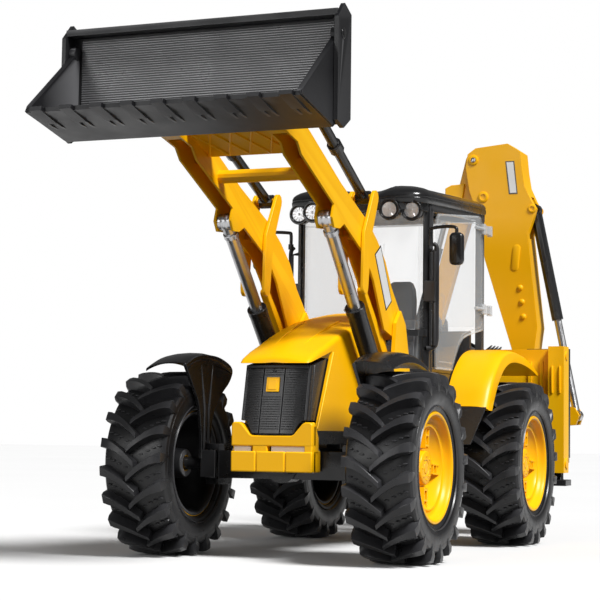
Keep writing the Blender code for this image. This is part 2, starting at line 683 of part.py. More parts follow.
def rear_frame():
    """Rear plate with two rails and a leg tube at each end."""
    solids = [box((-87, 198, 62), (87, 205.6, 141)), box((-94, 205, 66), (94, 210, 72)),
              box((-94, 205, 130), (94, 210, 136))]
    cuts = []
    for s in (-1, 1):
        x0, x1 = span(s, 85.5, 97.6)
        solids.append(box((x0, 191.5, 49), (x1, 205.8, 143)))
        x0, x1 = span(s, 88.2, 95.0)
        cuts.append(box((x0, 194.2, 40), (x1, 203.2, 140)))
        for x in (70, 79):
            x0, x1 = span(s, x - 1.2, x + 1.2)
            solids.append(box((x0, 196.6, 78), (x1, 198.6, 132)))
    return piece("rear_frame", YELLOW, solids, cuts)


def stabiliser(name, s):
    """Sliding leg with its broad foot."""
    x0, x1 = span(s, 88.6, 94.6)
    leg = box((x0, 194.6, 42), (x1, 202.8, 96))
    x0, x1 = span(s, 84.5, 99.4)
    foot = box((x0, 190.5, 39.5), (x1, 207, 44))
    return piece(name, BLACK, [leg, foot], pivot=(s * 91.6, 198.7, 42))


def carriage():
    """Side-shift carriage hooked over both rails, with the two swing lugs."""
    solids = [box((64, 210.5, 60), (96, 217, 142))]
    for low, high in ((136.5, 139.5), (62.5, 65.5)):
        solids.append(box((64, 206.2, low), (96, 212, high)))
    cuts = []
    for low, high in ((56, 61), (75, 80)):
        arm = [(71, 216), (89, 216), (89, 242)] + arc((SWING_X, DIG_Y), 9, 0, 180, 7)[1:]
        solids.append(prism("z", arm, low, high))
        cuts.append(rod((SWING_X, DIG_Y, low - 3), (SWING_X, DIG_Y, high + 3), 4.5, 12))
    solids.append(box((71, 211, 55.9), (89, 217, 62)))
    return piece("side_shift_carriage", BLACK, solids, cuts, pivot=(SWING_X, 212, 100))


def kingpost():
    """Swing post: king pin, body, boom fork and the clevis of the boom ram."""
    solids = [rod((SWING_X, DIG_Y, 54), (SWING_X, DIG_Y, 84), 4.0, 12),
              prism("y", [(66, 80.5), (85, 80.5), (85, 99), (78, 112), (66, 112)], 233, 251)]
    for low, high in ((231.5, 235.6), (248.4, 252.5)):
        fork = arc(BOOM_FOOT, 8.5, 90, 220, 6) + [(72, 80.8), (85, 80.8), (85, 112), (70, 124)]
        solids.append(prism("y", fork, low, high))
    for low, high in ((234.5, 237.6), (246.4, 249.5)):
        solids.append(prism("y", [(82, 84), (96, 85), (98.5, 92), (95, 98), (82, 100)], low, high))
    cuts = [prism("y", [(40, 100), (67, 100), (67, 135), (40, 135)], 235.7, 248.3)]
    pins = [rod(xz(233, BOOM_FOOT), xz(251, BOOM_FOOT), 3.2, 10)]
    return piece("kingpost", YELLOW, solids, cuts, pivot=(SWING_X, DIG_Y, 80), pins=pins)


def boom():
    """Boom: side plates closed at the back, open toward the dipper, forked at both heads."""
    right = [(52.5, 297), (54, 282), (56, 270), (61, 259), (65, 252), (62.5, 243), (58.5, 232), (66.5, 160),
             (63.5, 138), (63, 118)]
    left = [(46.5, 120), (46, 143), (24, 213), (17.5, 249), (11, 268), (8, 286), (9.5, 297), (16, 301.5),
            (42, 304)]
    outline = right + arc(BOOM_FOOT, 8.2, -10, -170, 6) + left
    solids = [prism("y", outline, 231.5, 252.5)]
    channel = [(55, 240), (60.5, 165), (56, 150), (30, 150), (-10, 240), (-10, 262), (30, 262)]
    slot = [(27, 255), (27, 280), (29, 310), (-20, 310), (-20, 255)]
    cuts = [prism("y", channel, 234.6, 249.4), prism("y", slot, 236.4, 247.6),
            prism("y", [(57.4, 229), (57.0, 240), (54.5, 246), (54.5, 262), (80, 262), (80, 229)],
                  237.2, 246.8),
            prism("y", [(30, 100), (80, 100), (80, 131), (30, 131)], 225, 236.2),
            prism("y", [(30, 100), (80, 100), (80, 131), (30, 131)], 247.8, 260),
            rod(xz(225, BOOM_FOOT), xz(260, BOOM_FOOT), 3.6, 12)]
    pins = [rod(xz(232.5, point), xz(251.5, point), radius, 10)
            for point, radius in ((DIP_PIVOT, 2.6), (BOOM_RAM_TOP, 2.0), (DIP_RAM_FOOT, 2.0))]
    return piece("boom", YELLOW, solids, cuts, pivot=xz(DIG_Y, BOOM_FOOT), pins=pins)


def digger_ram(names, foot, top, reach, radii, eyes):
    """A slim ram in the digging plane: barrel pivoting at foot, rod pivoting at top."""
    barrel_r, rod_r = radii
    length = hypot(top[0] - foot[0], top[1] - foot[1])
    barrel = [rod(xz(DIG_Y, offset_point(foot, top, 2)), xz(DIG_Y, offset_point(foot, top, reach)),
                  barrel_r, 12),
              rod(xz(DIG_Y - 3.6, foot), xz(DIG_Y + 3.6, foot), eyes[0], 12)]
    bore = rod(xz(DIG_Y, offset_point(foot, top, 8)), xz(DIG_Y, offset_point(foot, top, reach + 9)),
               rod_r + GAP, 10)
    cuts = [bore]
    if eyes[2]:
        cuts.append(rod(xz(DIG_Y - 9, foot), xz(DIG_Y + 9, foot), eyes[2], 10))
    piece(names[0], BLACK, barrel, cuts, pivot=xz(DIG_Y, foot), smooth=True)
    stem = [rod(xz(DIG_Y, offset_point(foot, top, max(reach - 28, 10))),
                xz(DIG_Y, offset_point(foot, top, length - 1)), rod_r, 10),
            rod(xz(DIG_Y - 3.6, top), xz(DIG_Y + 3.6, top), eyes[1], 12)]
    piece(names[1], SILVER, stem, pivot=xz(DIG_Y, top), smooth=True)


def dipper():
    """Dipper arm: box bar with its head eye, a ram lug on each side, and an eye at the bucket."""
    outline = bar_outline(DIP_PIVOT, DIG_PIVOT, 8.2, 6.2, 8)
    solids = [prism("y", outline, 237.0, 247.0)]
    lugs = []
    for low, high in ((234.9, 237.9), (246.1, 249.1)):
        lugs.append(prism("y", [(-5, 273.5), (-10, 271), (-10, 265), (-5, 262), (4, 262), (6, 274)],
                          low, high))
        lugs.append(prism("y", [(4, 260), (17, 260.5), (21, 257), (18, 253), (8, 250), (0, 254)],
                          low, high))
    cuts = [rod(xz(230, DIP_PIVOT), xz(255, DIP_PIVOT), 3.0, 12),
            rod(xz(230, DIG_PIVOT), xz(255, DIG_PIVOT), 2.7, 12)]
    return piece("dipper", YELLOW, solids + lugs, cuts, pivot=xz(DIG_Y, DIP_PIVOT))


def digger_bucket():
    """Curled digger bucket: bowed shell, side walls, pivot lugs and four teeth."""
    bowl = [(-11, 158), (-27, 157), (-35, 148), (-36, 136), (-29, 123), (-15, 116), (2, 117),
            (17, 126), (26, 139)]
    inside = [(24, 141), (15, 129), (1, 120), (-14, 119.2), (-26, 125.5), (-32.6, 137), (-31.8, 147),
              (-25.5, 153.5), (-11, 154.5)]
    shell = prism("y", bowl + inside, 226.5, TAIL_Y)
    solids = [shell]
    for low, high in ((226.5, 228.9), (TAIL_Y - 2.4, TAIL_Y)):
        solids.append(prism("y", bowl, low, high))
    for low, high in ((232.5, 236.4), (247.6, 251.5)):
        solids.append(prism("y", [(-12, 156), (-12.5, 166), (-17, 173), (-24, 173), (-30, 167),
                                  (-41, 164), (-40, 157), (-33, 153), (-20, 155)], low, high))
    for k in range(4):
        y = 227.2 + 8.8 * k
        solids.append(prism("y", [(23, 137), (26, 136.5), (31, 146), (23.5, 140.5)], y, y + 3.2))
    solids.append(rod(xz(233, DIG_PIVOT), xz(251, DIG_PIVOT), 2.3, 10))
    return piece("digger_bucket", BLACK, solids, pivot=xz(DIG_Y, DIG_PIVOT))


# ---------------------------------------------------------------- assembly

def build():
    for side, s in (("l", 1), ("r", -1)):
        for end, axle_y in (("front", FRONT_AXLE_Y), ("rear", REAR_AXLE_Y)):
            tyre("tyre_%s_%s" % (end, side), s, axle_y)
            rim("rim_%s_%s" % (end, side), s, axle_y)
        knuckle("steering_knuckle_" + side, s)
        door("door_" + side, s)
        fender("rear_fender_" + side, s)
        mirror("mirror_" + side, s)
        ram(("lift_barrel_" + side, "lift_rod_" + side), s, s * ARM_MID, RAM_FOOT, RAM_TOP, 70.0,
            (6.1, 4.0, 5.0), 10.4)
        bellcrank("bellcrank_" + side, s)
        tilt_link("tilt_link_" + side, s)
        tilt_stay("tilt_stay_" + side, s)
        stabiliser("stabiliser_leg_" + side, s)
    chassis()
    front_axle()
    tie_rod()
    rear_axle()
    bumper()
    hood()
    nose()
    engine()
    towers()
    cab_tub()
    cab_frame()
    roof()
    glazing()
    seat()
    steering_wheel()
    loader_arms()
    bucket_back()
    bucket_clam()
    rear_frame()
    carriage()
    kingpost()
    boom()
    dipper()
    digger_bucket()
    digger_ram(("boom_ram_barrel", "boom_ram_rod"), BOOM_RAM_TOP, BOOM_RAM_FOOT, 88.0, (4.4, 2.9),
               (4.6, 4.4, 2.4))
    digger_ram(("dipper_ram_barrel", "dipper_ram_rod"), DIP_RAM_FOOT, DIP_RAM_TOP, 66.0, (4.0, 2.3),
               (4.4, 3.2, 2.4))
    digger_ram(("bucket_ram_barrel", "bucket_ram_rod"), DIG_RAM_FOOT, DIG_RAM_TOP, 66.0, (3.6, 2.2),
               (3.8, 3.2, 0.0))


build()
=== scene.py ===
"""Looks of the toy backhoe loader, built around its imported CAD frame.

Lengths are in millimetres and turn into metres when a mesh is made.  +X is the vehicle's left,
-Y its front and +Z up.  Most CAD pieces are copied with rounded edges and a moulded-plastic
material; wheels, bonnet, nose, mudguards, roof, doors and mirrors get meshes of their own.
"""
import json
from math import cos, sin, pi, radians, hypot

import bpy
import bmesh
from mathutils import Matrix, Vector

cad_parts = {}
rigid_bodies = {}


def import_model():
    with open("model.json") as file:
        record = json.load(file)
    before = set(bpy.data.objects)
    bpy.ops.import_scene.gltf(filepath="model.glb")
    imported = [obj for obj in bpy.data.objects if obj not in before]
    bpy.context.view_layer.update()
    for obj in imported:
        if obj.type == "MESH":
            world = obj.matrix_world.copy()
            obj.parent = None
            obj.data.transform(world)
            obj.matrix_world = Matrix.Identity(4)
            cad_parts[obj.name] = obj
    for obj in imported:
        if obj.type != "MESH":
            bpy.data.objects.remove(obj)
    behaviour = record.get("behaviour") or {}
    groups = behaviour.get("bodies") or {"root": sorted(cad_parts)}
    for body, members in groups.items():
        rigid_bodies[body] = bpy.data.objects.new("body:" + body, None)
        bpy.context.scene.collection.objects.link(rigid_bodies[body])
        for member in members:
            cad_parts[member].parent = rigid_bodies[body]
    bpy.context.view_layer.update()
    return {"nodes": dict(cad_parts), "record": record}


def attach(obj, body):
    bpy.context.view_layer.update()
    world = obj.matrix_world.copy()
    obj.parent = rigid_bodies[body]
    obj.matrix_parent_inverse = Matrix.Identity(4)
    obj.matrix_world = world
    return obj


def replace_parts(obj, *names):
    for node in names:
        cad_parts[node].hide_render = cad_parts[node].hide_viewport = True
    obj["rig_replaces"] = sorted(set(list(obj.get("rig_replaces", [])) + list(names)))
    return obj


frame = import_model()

MM = 0.001
SHIFT = 13.25                  # the frame's y = 0 lies this far ahead of the drawing's
TYRE_R = 57.0
HALF_TRACK = 78.0
AXLES = {"front": -104.0, "rear": 114.0}
SIDES = {"l": 1, "r": -1}
# Places in the side view as (y, z): the loader arms' root and head, and both ends of a lift ram.
ARM_PIVOT = (-14.0, 147.0)
ARM_HEAD = (-214.0, 254.0)
RAM_FOOT = (-28.0, 104.0)
RAM_TOP = (-123.5, 205.0)
RAM_X = 33.2
BODY_OF = {}
for body_name, members in frame["record"]["behaviour"]["bodies"].items():
    for member in members:
        BODY_OF[member] = body_name
SLOT_OF = {part["node"]: part["material_slot"] for part in frame["record"]["subparts"]}


# ---------------------------------------------------------------- materials

def new_material(name):
    """An empty node material, with its tree and its Principled shader."""
    made = bpy.data.materials.new(name)
    made.use_nodes = True
    return made, made.node_tree, made.node_tree.nodes["Principled BSDF"]


def noise(tree, scale, detail=3.0, stretch=None):
    """Noise in the object's own coordinates, in cycles per metre."""
    coords = tree.nodes.new("ShaderNodeTexCoord")
    texture = tree.nodes.new("ShaderNodeTexNoise")
    texture.inputs["Scale"].default_value = scale
    texture.inputs["Detail"].default_value = detail
    source = coords.outputs["Object"]
    if stretch:
        mapping = tree.nodes.new("ShaderNodeMapping")
        mapping.inputs["Scale"].default_value = stretch
        tree.links.new(source, mapping.inputs["Vector"])
        source = mapping.outputs["Vector"]
    tree.links.new(source, texture.inputs["Vector"])
    return texture.outputs["Fac"]


def ramp(tree, source, low, high, start=0.3, end=0.7):
    """A two-colour ramp driven by a value."""
    made = tree.nodes.new("ShaderNodeValToRGB")
    made.color_ramp.elements[0].position = start
    made.color_ramp.elements[1].position = end
    made.color_ramp.elements[0].color = (*low, 1.0)
    made.color_ramp.elements[1].color = (*high, 1.0)
    tree.links.new(source, made.inputs["Fac"])
    return made.outputs["Color"]


def span_of(tree, source, low, high, start=0.3, end=0.7):
    """A value carried from start..end to low..high."""
    made = tree.nodes.new("ShaderNodeMapRange")
    for socket, value in (("From Min", start), ("From Max", end), ("To Min", low),
                          ("To Max", high)):
        made.inputs[socket].default_value = value
    tree.links.new(source, made.inputs["Value"])
    return made.outputs["Result"]


def mixed(tree, factor, first, second):
    """Two colours mixed by a value."""
    made = tree.nodes.new("ShaderNodeMix")
    made.data_type = "RGBA"
    tree.links.new(factor, made.inputs[0])
    for source, socket in ((first, made.inputs[6]), (second, made.inputs[7])):
        if isinstance(source, tuple):
            socket.default_value = (*source, 1.0)
        else:
            tree.links.new(source, socket)
    return made.outputs[2]


def bumped(tree, shader, heights):
    """Bump layers, each a (value, strength, depth in metres)."""
    last = None
    for source, strength, depth in heights:
        made = tree.nodes.new("ShaderNodeBump")
        made.inputs["Strength"].default_value = strength
        made.inputs["Distance"].default_value = depth
        tree.links.new(source, made.inputs["Height"])
        if last:
            tree.links.new(last, made.inputs["Normal"])
        last = made.outputs["Normal"]
    tree.links.new(last, shader.inputs["Normal"])


def edges(tree, start=0.53, end=0.62):
    """How much a place is an outer edge, from the mesh's own curvature: where paler edge colour
    goes, as wear on some looks and as painted highlight on others.
    """
    geometry = tree.nodes.new("ShaderNodeNewGeometry")
    return span_of(tree, geometry.outputs["Pointiness"], 0.0, 0.8, start, end)


def finish_shader(tree, shader, spots, roughness, **settings):
    """Roughness that wanders between two values, and plain settings by their sockets' names."""
    tree.links.new(span_of(tree, noise(tree, *spots), *roughness), shader.inputs["Roughness"])
    for socket, value in settings.items():
        shader.inputs[socket.replace("_", " ")].default_value = value


def plastic(name, low, high, edge_wear_and_highlight, roughness, coat=0.0, grain=1400.0, grain_depth=0.00004,
            specular=0.5):
    """Moulded plastic: faint flow marks in colour and gloss, fine grain, paler edges: handling wear
    on most looks, a painted edge highlight on the satin and ribbed blacks.
    """
    made, tree, shader = new_material(name)
    flow = noise(tree, 22.0, 4.0)
    colour = ramp(tree, flow, low, high)
    shade = mixed(tree, edges(tree), colour, edge_wear_and_highlight)
    tree.links.new(shade, shader.inputs["Base Color"])
    finish_shader(tree, shader, (60.0, 5.0), roughness, Specular_IOR_Level=specular,
                  Coat_Weight=coat, Coat_Roughness=0.12)
    bumped(tree, shader, [(noise(tree, 60.0, 1.0), 0.03, 0.0004),
                          (noise(tree, grain, 2.0), 0.15, grain_depth)])
    return made


def brushed(name, colour, roughness):
    """Bright plating with faint streaks and a little haze."""
    made, tree, shader = new_material(name)
    streaks = noise(tree, 500.0, 3.0, (1.0, 0.2, 0.2))
    tree.links.new(ramp(tree, streaks, tuple(c * 0.86 for c in colour), colour),
                   shader.inputs["Base Color"])
    finish_shader(tree, shader, (120.0, 4.0), roughness, Metallic=1.0)
    bumped(tree, shader, [(streaks, 0.12, 0.00008)])
    return made


def clear(name, tint, alpha, roughness):
    """Thin clear plastic, seen mostly by its edges and highlights."""
    made, tree, shader = new_material(name)
    haze = noise(tree, 40.0, 4.0)
    tree.links.new(ramp(tree, haze, tint, tuple(min(1.0, c * 1.06) for c in tint)),
                   shader.inputs["Base Color"])
    finish_shader(tree, shader, (70.0, 4.0), roughness, Specular_IOR_Level=0.6)
    rim_light = tree.nodes.new("ShaderNodeLayerWeight")
    rim_light.inputs["Blend"].default_value = 0.22
    tree.links.new(span_of(tree, rim_light.outputs["Facing"], *alpha), shader.inputs["Alpha"])
    bumped(tree, shader, [(noise(tree, 30.0, 2.0), 0.08, 0.001)])
    return made


def rubber(name):
    """Soft black tyre plastic, dusty in its hollows and burnished on the lugs."""
    made, tree, shader = new_material(name)
    dust = noise(tree, 35.0, 6.0)
    base = ramp(tree, dust, (0.0075, 0.0075, 0.008), (0.012, 0.012, 0.013))
    shade = mixed(tree, edges(tree, 0.52, 0.6), base, (0.04, 0.04, 0.043))
    tree.links.new(shade, shader.inputs["Base Color"])
    finish_shader(tree, shader, (160.0, 5.0), (0.26, 0.38), Specular_IOR_Level=0.32)
    bumped(tree, shader, [(noise(tree, 240.0, 3.0), 0.10, 0.0003),
                          (noise(tree, 1700.0, 2.0), 0.2, 0.00005)])
    return made


YELLOW = plastic("yellow_plastic_look", (0.87, 0.43, 0.0005), (0.90, 0.45, 0.001),
                 (0.95, 0.52, 0.005), (0.30, 0.40), specular=0.22)
BLACK = plastic("black_plastic_look", (0.0055, 0.0055, 0.006), (0.008, 0.008, 0.0085),
                (0.04, 0.04, 0.042), (0.20, 0.30), coat=0.08, specular=0.36)
# Painted highlight: the pale edge colour of this satin black and of the ribbed black below stands
# in for bright edge highlights.
SATIN = plastic("black_satin_look", (0.008, 0.008, 0.009), (0.012, 0.012, 0.013),
                (0.13, 0.13, 0.135), (0.30, 0.42), grain=900.0, grain_depth=0.00006, specular=0.22)
RIBBED = plastic("black_ribbed_look", (0.014, 0.014, 0.015), (0.022, 0.022, 0.023),
                 (0.16, 0.16, 0.165), (0.26, 0.38), grain=900.0, grain_depth=0.00008, specular=0.75)
GREY = plastic("grey_plastic_look", (0.06, 0.06, 0.065), (0.10, 0.10, 0.105), (0.2, 0.2, 0.2),
               (0.42, 0.58))
RUBBER = rubber("tyre_look")
SILVER = brushed("plated_look", (0.47, 0.47, 0.48), (0.26, 0.38))
CLEAR = clear("clear_plastic_look", (0.70, 0.72, 0.73), (0.05, 0.62), (0.05, 0.12))
LENS = clear("lens_look", (0.66, 0.67, 0.68), (0.05, 0.45), (0.03, 0.08))
TAB = clear("clear_tab_look", (0.62, 0.64, 0.66), (0.38, 0.85), (0.06, 0.14))
PANEL = plastic("plain_panel_look", (0.60, 0.61, 0.60), (0.68, 0.68, 0.67), (0.8, 0.8, 0.78),
                (0.28, 0.4))
LOOKS = {"yellow_plastic": YELLOW, "black_plastic": BLACK, "black_rubber": RUBBER,
         "plated_rod": SILVER, "grey_plastic": GREY, "clear_plastic": CLEAR}
# The material slot a look belongs to.
USUAL_SLOT = {look.name: slot for slot, look in LOOKS.items()}
USUAL_SLOT.update({SATIN.name: "black_plastic", RIBBED.name: "black_plastic",
                   LENS.name: "clear_plastic", TAB.name: "clear_plastic"})


# ---------------------------------------------------------------- mesh helpers

def place(x, y, z):
    """A drawing point in millimetres as a frame point in metres."""
    return Vector((x * MM, (y + SHIFT) * MM, z * MM))


def loft(bm, loops, ring=False):
    """Loops of drawing points skinned in order, capped at both ends or closed as a ring."""
    rows = [[bm.verts.new(place(*p)) for p in loop] for loop in loops]
    pairs = list(zip(rows, rows[1:]))
    if ring:
        pairs.append((rows[-1], rows[0]))
    for low, high in pairs:
        for i in range(len(low)):
            j = (i + 1) % len(low)
            bm.faces.new((low[i], low[j], high[j], high[i]))
    if not ring:
        bm.faces.new(rows[0])
        bm.faces.new(rows[-1])


def push(bm, axis, outline, low, high):
    """An outline pushed along x, y or z."""
    order = {"x": (2, 0, 1), "y": (0, 2, 1), "z": (0, 1, 2)}[axis]
    loft(bm, [[tuple((a, b, s)[i] for i in order) for a, b in outline] for s in (low, high)])


def plate(bm, s, near, far, outline):
    """A side-view outline pushed between two distances from the middle, on side s."""
    push(bm, "x", outline, *sorted((s * near, s * far)))


def block(bm, low, high):
    """A block between two corners."""
    push(bm, "z", [(low[0], low[1]), (high[0], low[1]), (high[0], high[1]), (low[0], high[1])],
         low[2], high[2])


def side_block(bm, s, near, far, low, high):
    """A block between two distances from the middle, on side s, and two (y, z) corners."""
    near, far = sorted((s * near, s * far))
    block(bm, (near, *low), (far, *high))


def bar(bm, start, end, radius, steps=24):
    """A round bar between two drawing points."""
    start = Vector(start)
    end = Vector(end)
    side = (end - start).orthogonal().normalized()
    other = (end - start).normalized().cross(side)
    turns = [2 * pi * i / steps for i in range(steps)]
    loft(bm, [[tuple(centre + (side * cos(t) + other * sin(t)) * radius) for t in turns]
              for centre in (start, end)])


def tube(bm, points, radius, steps=12):
    """A round bar along a bent route; radius may be one number or one for each point."""
    points = [Vector(p) for p in points]
    radii = radius if isinstance(radius, (list, tuple)) else [radius] * len(points)
    across = (points[1] - points[0]).orthogonal().normalized()
    loops = []
    for i, centre in enumerate(points):
        along = (points[min(i + 1, len(points) - 1)] - points[max(i - 1, 0)]).normalized()
        across = (across - along * across.dot(along)).normalized()
        other = along.cross(across)
        loops.append([tuple(centre + (across * cos(2 * pi * k / steps)
                                      + other * sin(2 * pi * k / steps)) * radii[i])
                      for k in range(steps)])
    loft(bm, loops)


def turned(bm, profile, steps, centre, sign=1, axis="x"):
    """A profile of (along, radius) turned about an x or y line through centre, its ends capped."""
    loops = []
    for along, radius in profile:
        loop = []
        for k in range(steps):
            t = 2 * pi * k / steps
            a, b, c = sign * along, radius * cos(t), radius * sin(t)
            if axis == "y":
                a, b = b, a
            loop.append((centre[0] + a, centre[1] + b, centre[2] + c))
        loops.append(loop)
    loft(bm, loops)


def smooth_path(points, count):
    """A smooth run of count points through the given ones."""
    points = [Vector(p) for p in points]
    padded = [points[0] * 2 - points[1]] + points + [points[-1] * 2 - points[-2]]
    made = []
    for k in range(count):
        at = k * (len(points) - 1) / (count - 1)
        i = min(int(at), len(points) - 2)
        t = at - i
        a, b, c, d = padded[i:i + 4]
        made.append(((b * 2) + (c - a) * t + (a * 2 - b * 5 + c * 4 - d) * t * t
                     + (b * 3 - a - c * 3 + d) * t * t * t) * 0.5)
    return made


def new_object(name, bm):
    """An object holding a bmesh, which is freed."""
    mesh = bpy.data.meshes.new(name)
    bm.to_mesh(mesh)
    bm.free()
    return bpy.data.objects.new(name, mesh)


def finish_piece(name, bm, look, body, *replaced, slot=None, bevel=0.0, segments=2, sharp=35.0):
    """One visual piece on its body, from a bmesh, standing in for the CAD nodes it replaces."""
    bmesh.ops.recalc_face_normals(bm, faces=bm.faces)
    return dress(new_object(name, bm), look, body, replaced, bevel,
                 segments, sharp)


def dress(obj, look, body, replaced, bevel, segments, sharp):
    """Material, shading, rounding and ride of one object."""
    bpy.context.scene.collection.objects.link(obj)
    obj.data.materials.clear()
    obj.data.materials.append(look)
    obj.data.shade_smooth()
    obj.data.set_sharp_from_angle(angle=radians(sharp))
    if bevel:
        rounding = obj.modifiers.new("rounding", "BEVEL")
        rounding.width = bevel * MM
        rounding.segments = segments
        rounding.limit_method = "ANGLE"
        rounding.angle_limit = radians(sharp)
        rounding.harden_normals = False
        rounding.use_clamp_overlap = True
    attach(obj, body)
    if replaced:
        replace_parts(obj, *replaced)
    return obj


def rounded(node, bevel, look, segments):
    """A CAD node's shape with rounded edges, in its own plastic unless a look is given."""
    source = frame["nodes"][node]
    bm = bmesh.new()
    bm.from_mesh(source.data)
    bmesh.ops.remove_doubles(bm, verts=bm.verts, dist=0.00001)
    bmesh.ops.dissolve_limit(bm, angle_limit=radians(1.0), verts=bm.verts, edges=bm.edges)
    return dress(new_object(node + "_look", bm), look or LOOKS[SLOT_OF[node]], BODY_OF[node],
                 (node,), bevel, segments, 30.0)


# ---------------------------------------------------------------- wheels

LUG_COUNT = 20
LUG_FLARE = 1.35               # how much wider a lug's foot is than its top
LUG_SHOULDER = 0.88            # how much of that top is flat, between its rounded edges


def hoop(bm, end, side, section, steps):
    """A closed section of (out from the wheel's middle, radius) carried round a wheel."""
    loops = []
    for k in range(steps):
        t = 2 * pi * k / steps
        loops.append([(SIDES[side] * (HALF_TRACK + x), AXLES[end] - r * cos(t), TYRE_R + r * sin(t))
                      for x, r in section])
    loft(bm, loops, ring=True)


def tyre(end, side):
    """Tyre with a rounded carcass, curved chevron lugs, nubs between them and a ringed wall."""
    node = "tyre_%s_%s" % (end, side)
    bm = bmesh.new()
    half = [(15.6, 33.4), (17.6, 33.2), (18.6, 34.4), (18.9, 36.2), (19.6, 37.0), (20.3, 40.0),
            (20.5, 43.0), (20.6, 46.5), (20.3, 48.6), (19.2, 49.8), (16.5, 50.4), (12.0, 50.7),
            (6.0, 51.0)]
    hoop(bm, end, side, half + [(-x, r) for x, r in reversed(half)], 96)

    def at(x, radius, turn):
        """A point by its place across the tread, its radius and its angle round the wheel."""
        return (SIDES[side] * (HALF_TRACK + x), AXLES[end] - radius * cos(turn),
                TYRE_R + radius * sin(turn))

    # A lug from mid-tread over the shoulder: across, lead in degrees, top radius, half width.
    path = [(-2.6, -0.4, 56.8, 1.6), (0.5, 2.5, 57.0, 1.8), (4.5, 5.8, 57.0, 2.0),
            (9.0, 8.9, 57.0, 2.2), (13.5, 11.2, 56.9, 2.4), (17.2, 12.5, 56.6, 2.7),
            (20.4, 13.2, 55.6, 2.9), (21.2, 13.6, 52.0, 2.5), (21.0, 14.4, 47.8, 1.5),
            (20.7, 15.0, 45.2, 0.6)]
    for flank in (1, -1):
        for k in range(LUG_COUNT):
            start = 2 * pi * (k + (0.5 if flank < 0 else 0.0)) / LUG_COUNT
            loops = []
            for x, lead, top, wide in path:
                turn = start + radians(lead)
                inner = min(top - 3.0, 49.4)
                inward = x if abs(x) < 17 else x - 2.4 - 0.25 * (x - 17)
                spread = wide / top
                loops.append([at(flank * inward, inner, turn - spread * LUG_FLARE),
                              at(flank * x, top - 0.2, turn - spread),
                              at(flank * x, top, turn - spread * LUG_SHOULDER),
                              at(flank * x, top, turn + spread * LUG_SHOULDER),
                              at(flank * x, top - 0.2, turn + spread),
                              at(flank * inward, inner, turn + spread * LUG_FLARE)])
            loft(bm, loops)
            for x, lead in ((5.0, 15.6), (9.4, 18.0), (13.2, 20.0), (16.6, 21.4)):
                turn = start + radians(lead)
                loops = []
                for lift, size in ((-0.6, 1.0), (0.35, 0.86), (0.6, 0.5)):
                    r = 50.9 + lift
                    loops.append([at(flank * (x + 1.7 * size * cos(a)), r,
                                     turn + 0.65 * size * sin(a) / r)
                                  for a in [2 * pi * j / 8 for j in range(8)]])
                loft(bm, loops)
    for wall, crest, radius in ((19.4, 20.2, 36.6), (19.9, 20.7, 46.0)):
        for flank in (1, -1):
            hoop(bm, end, side, [(flank * wall, radius - 0.5), (flank * crest, radius),
                                 (flank * wall, radius + 0.5)], 96)
    finish_piece(node + "_look", bm, RUBBER, BODY_OF[node], node, sharp=30)


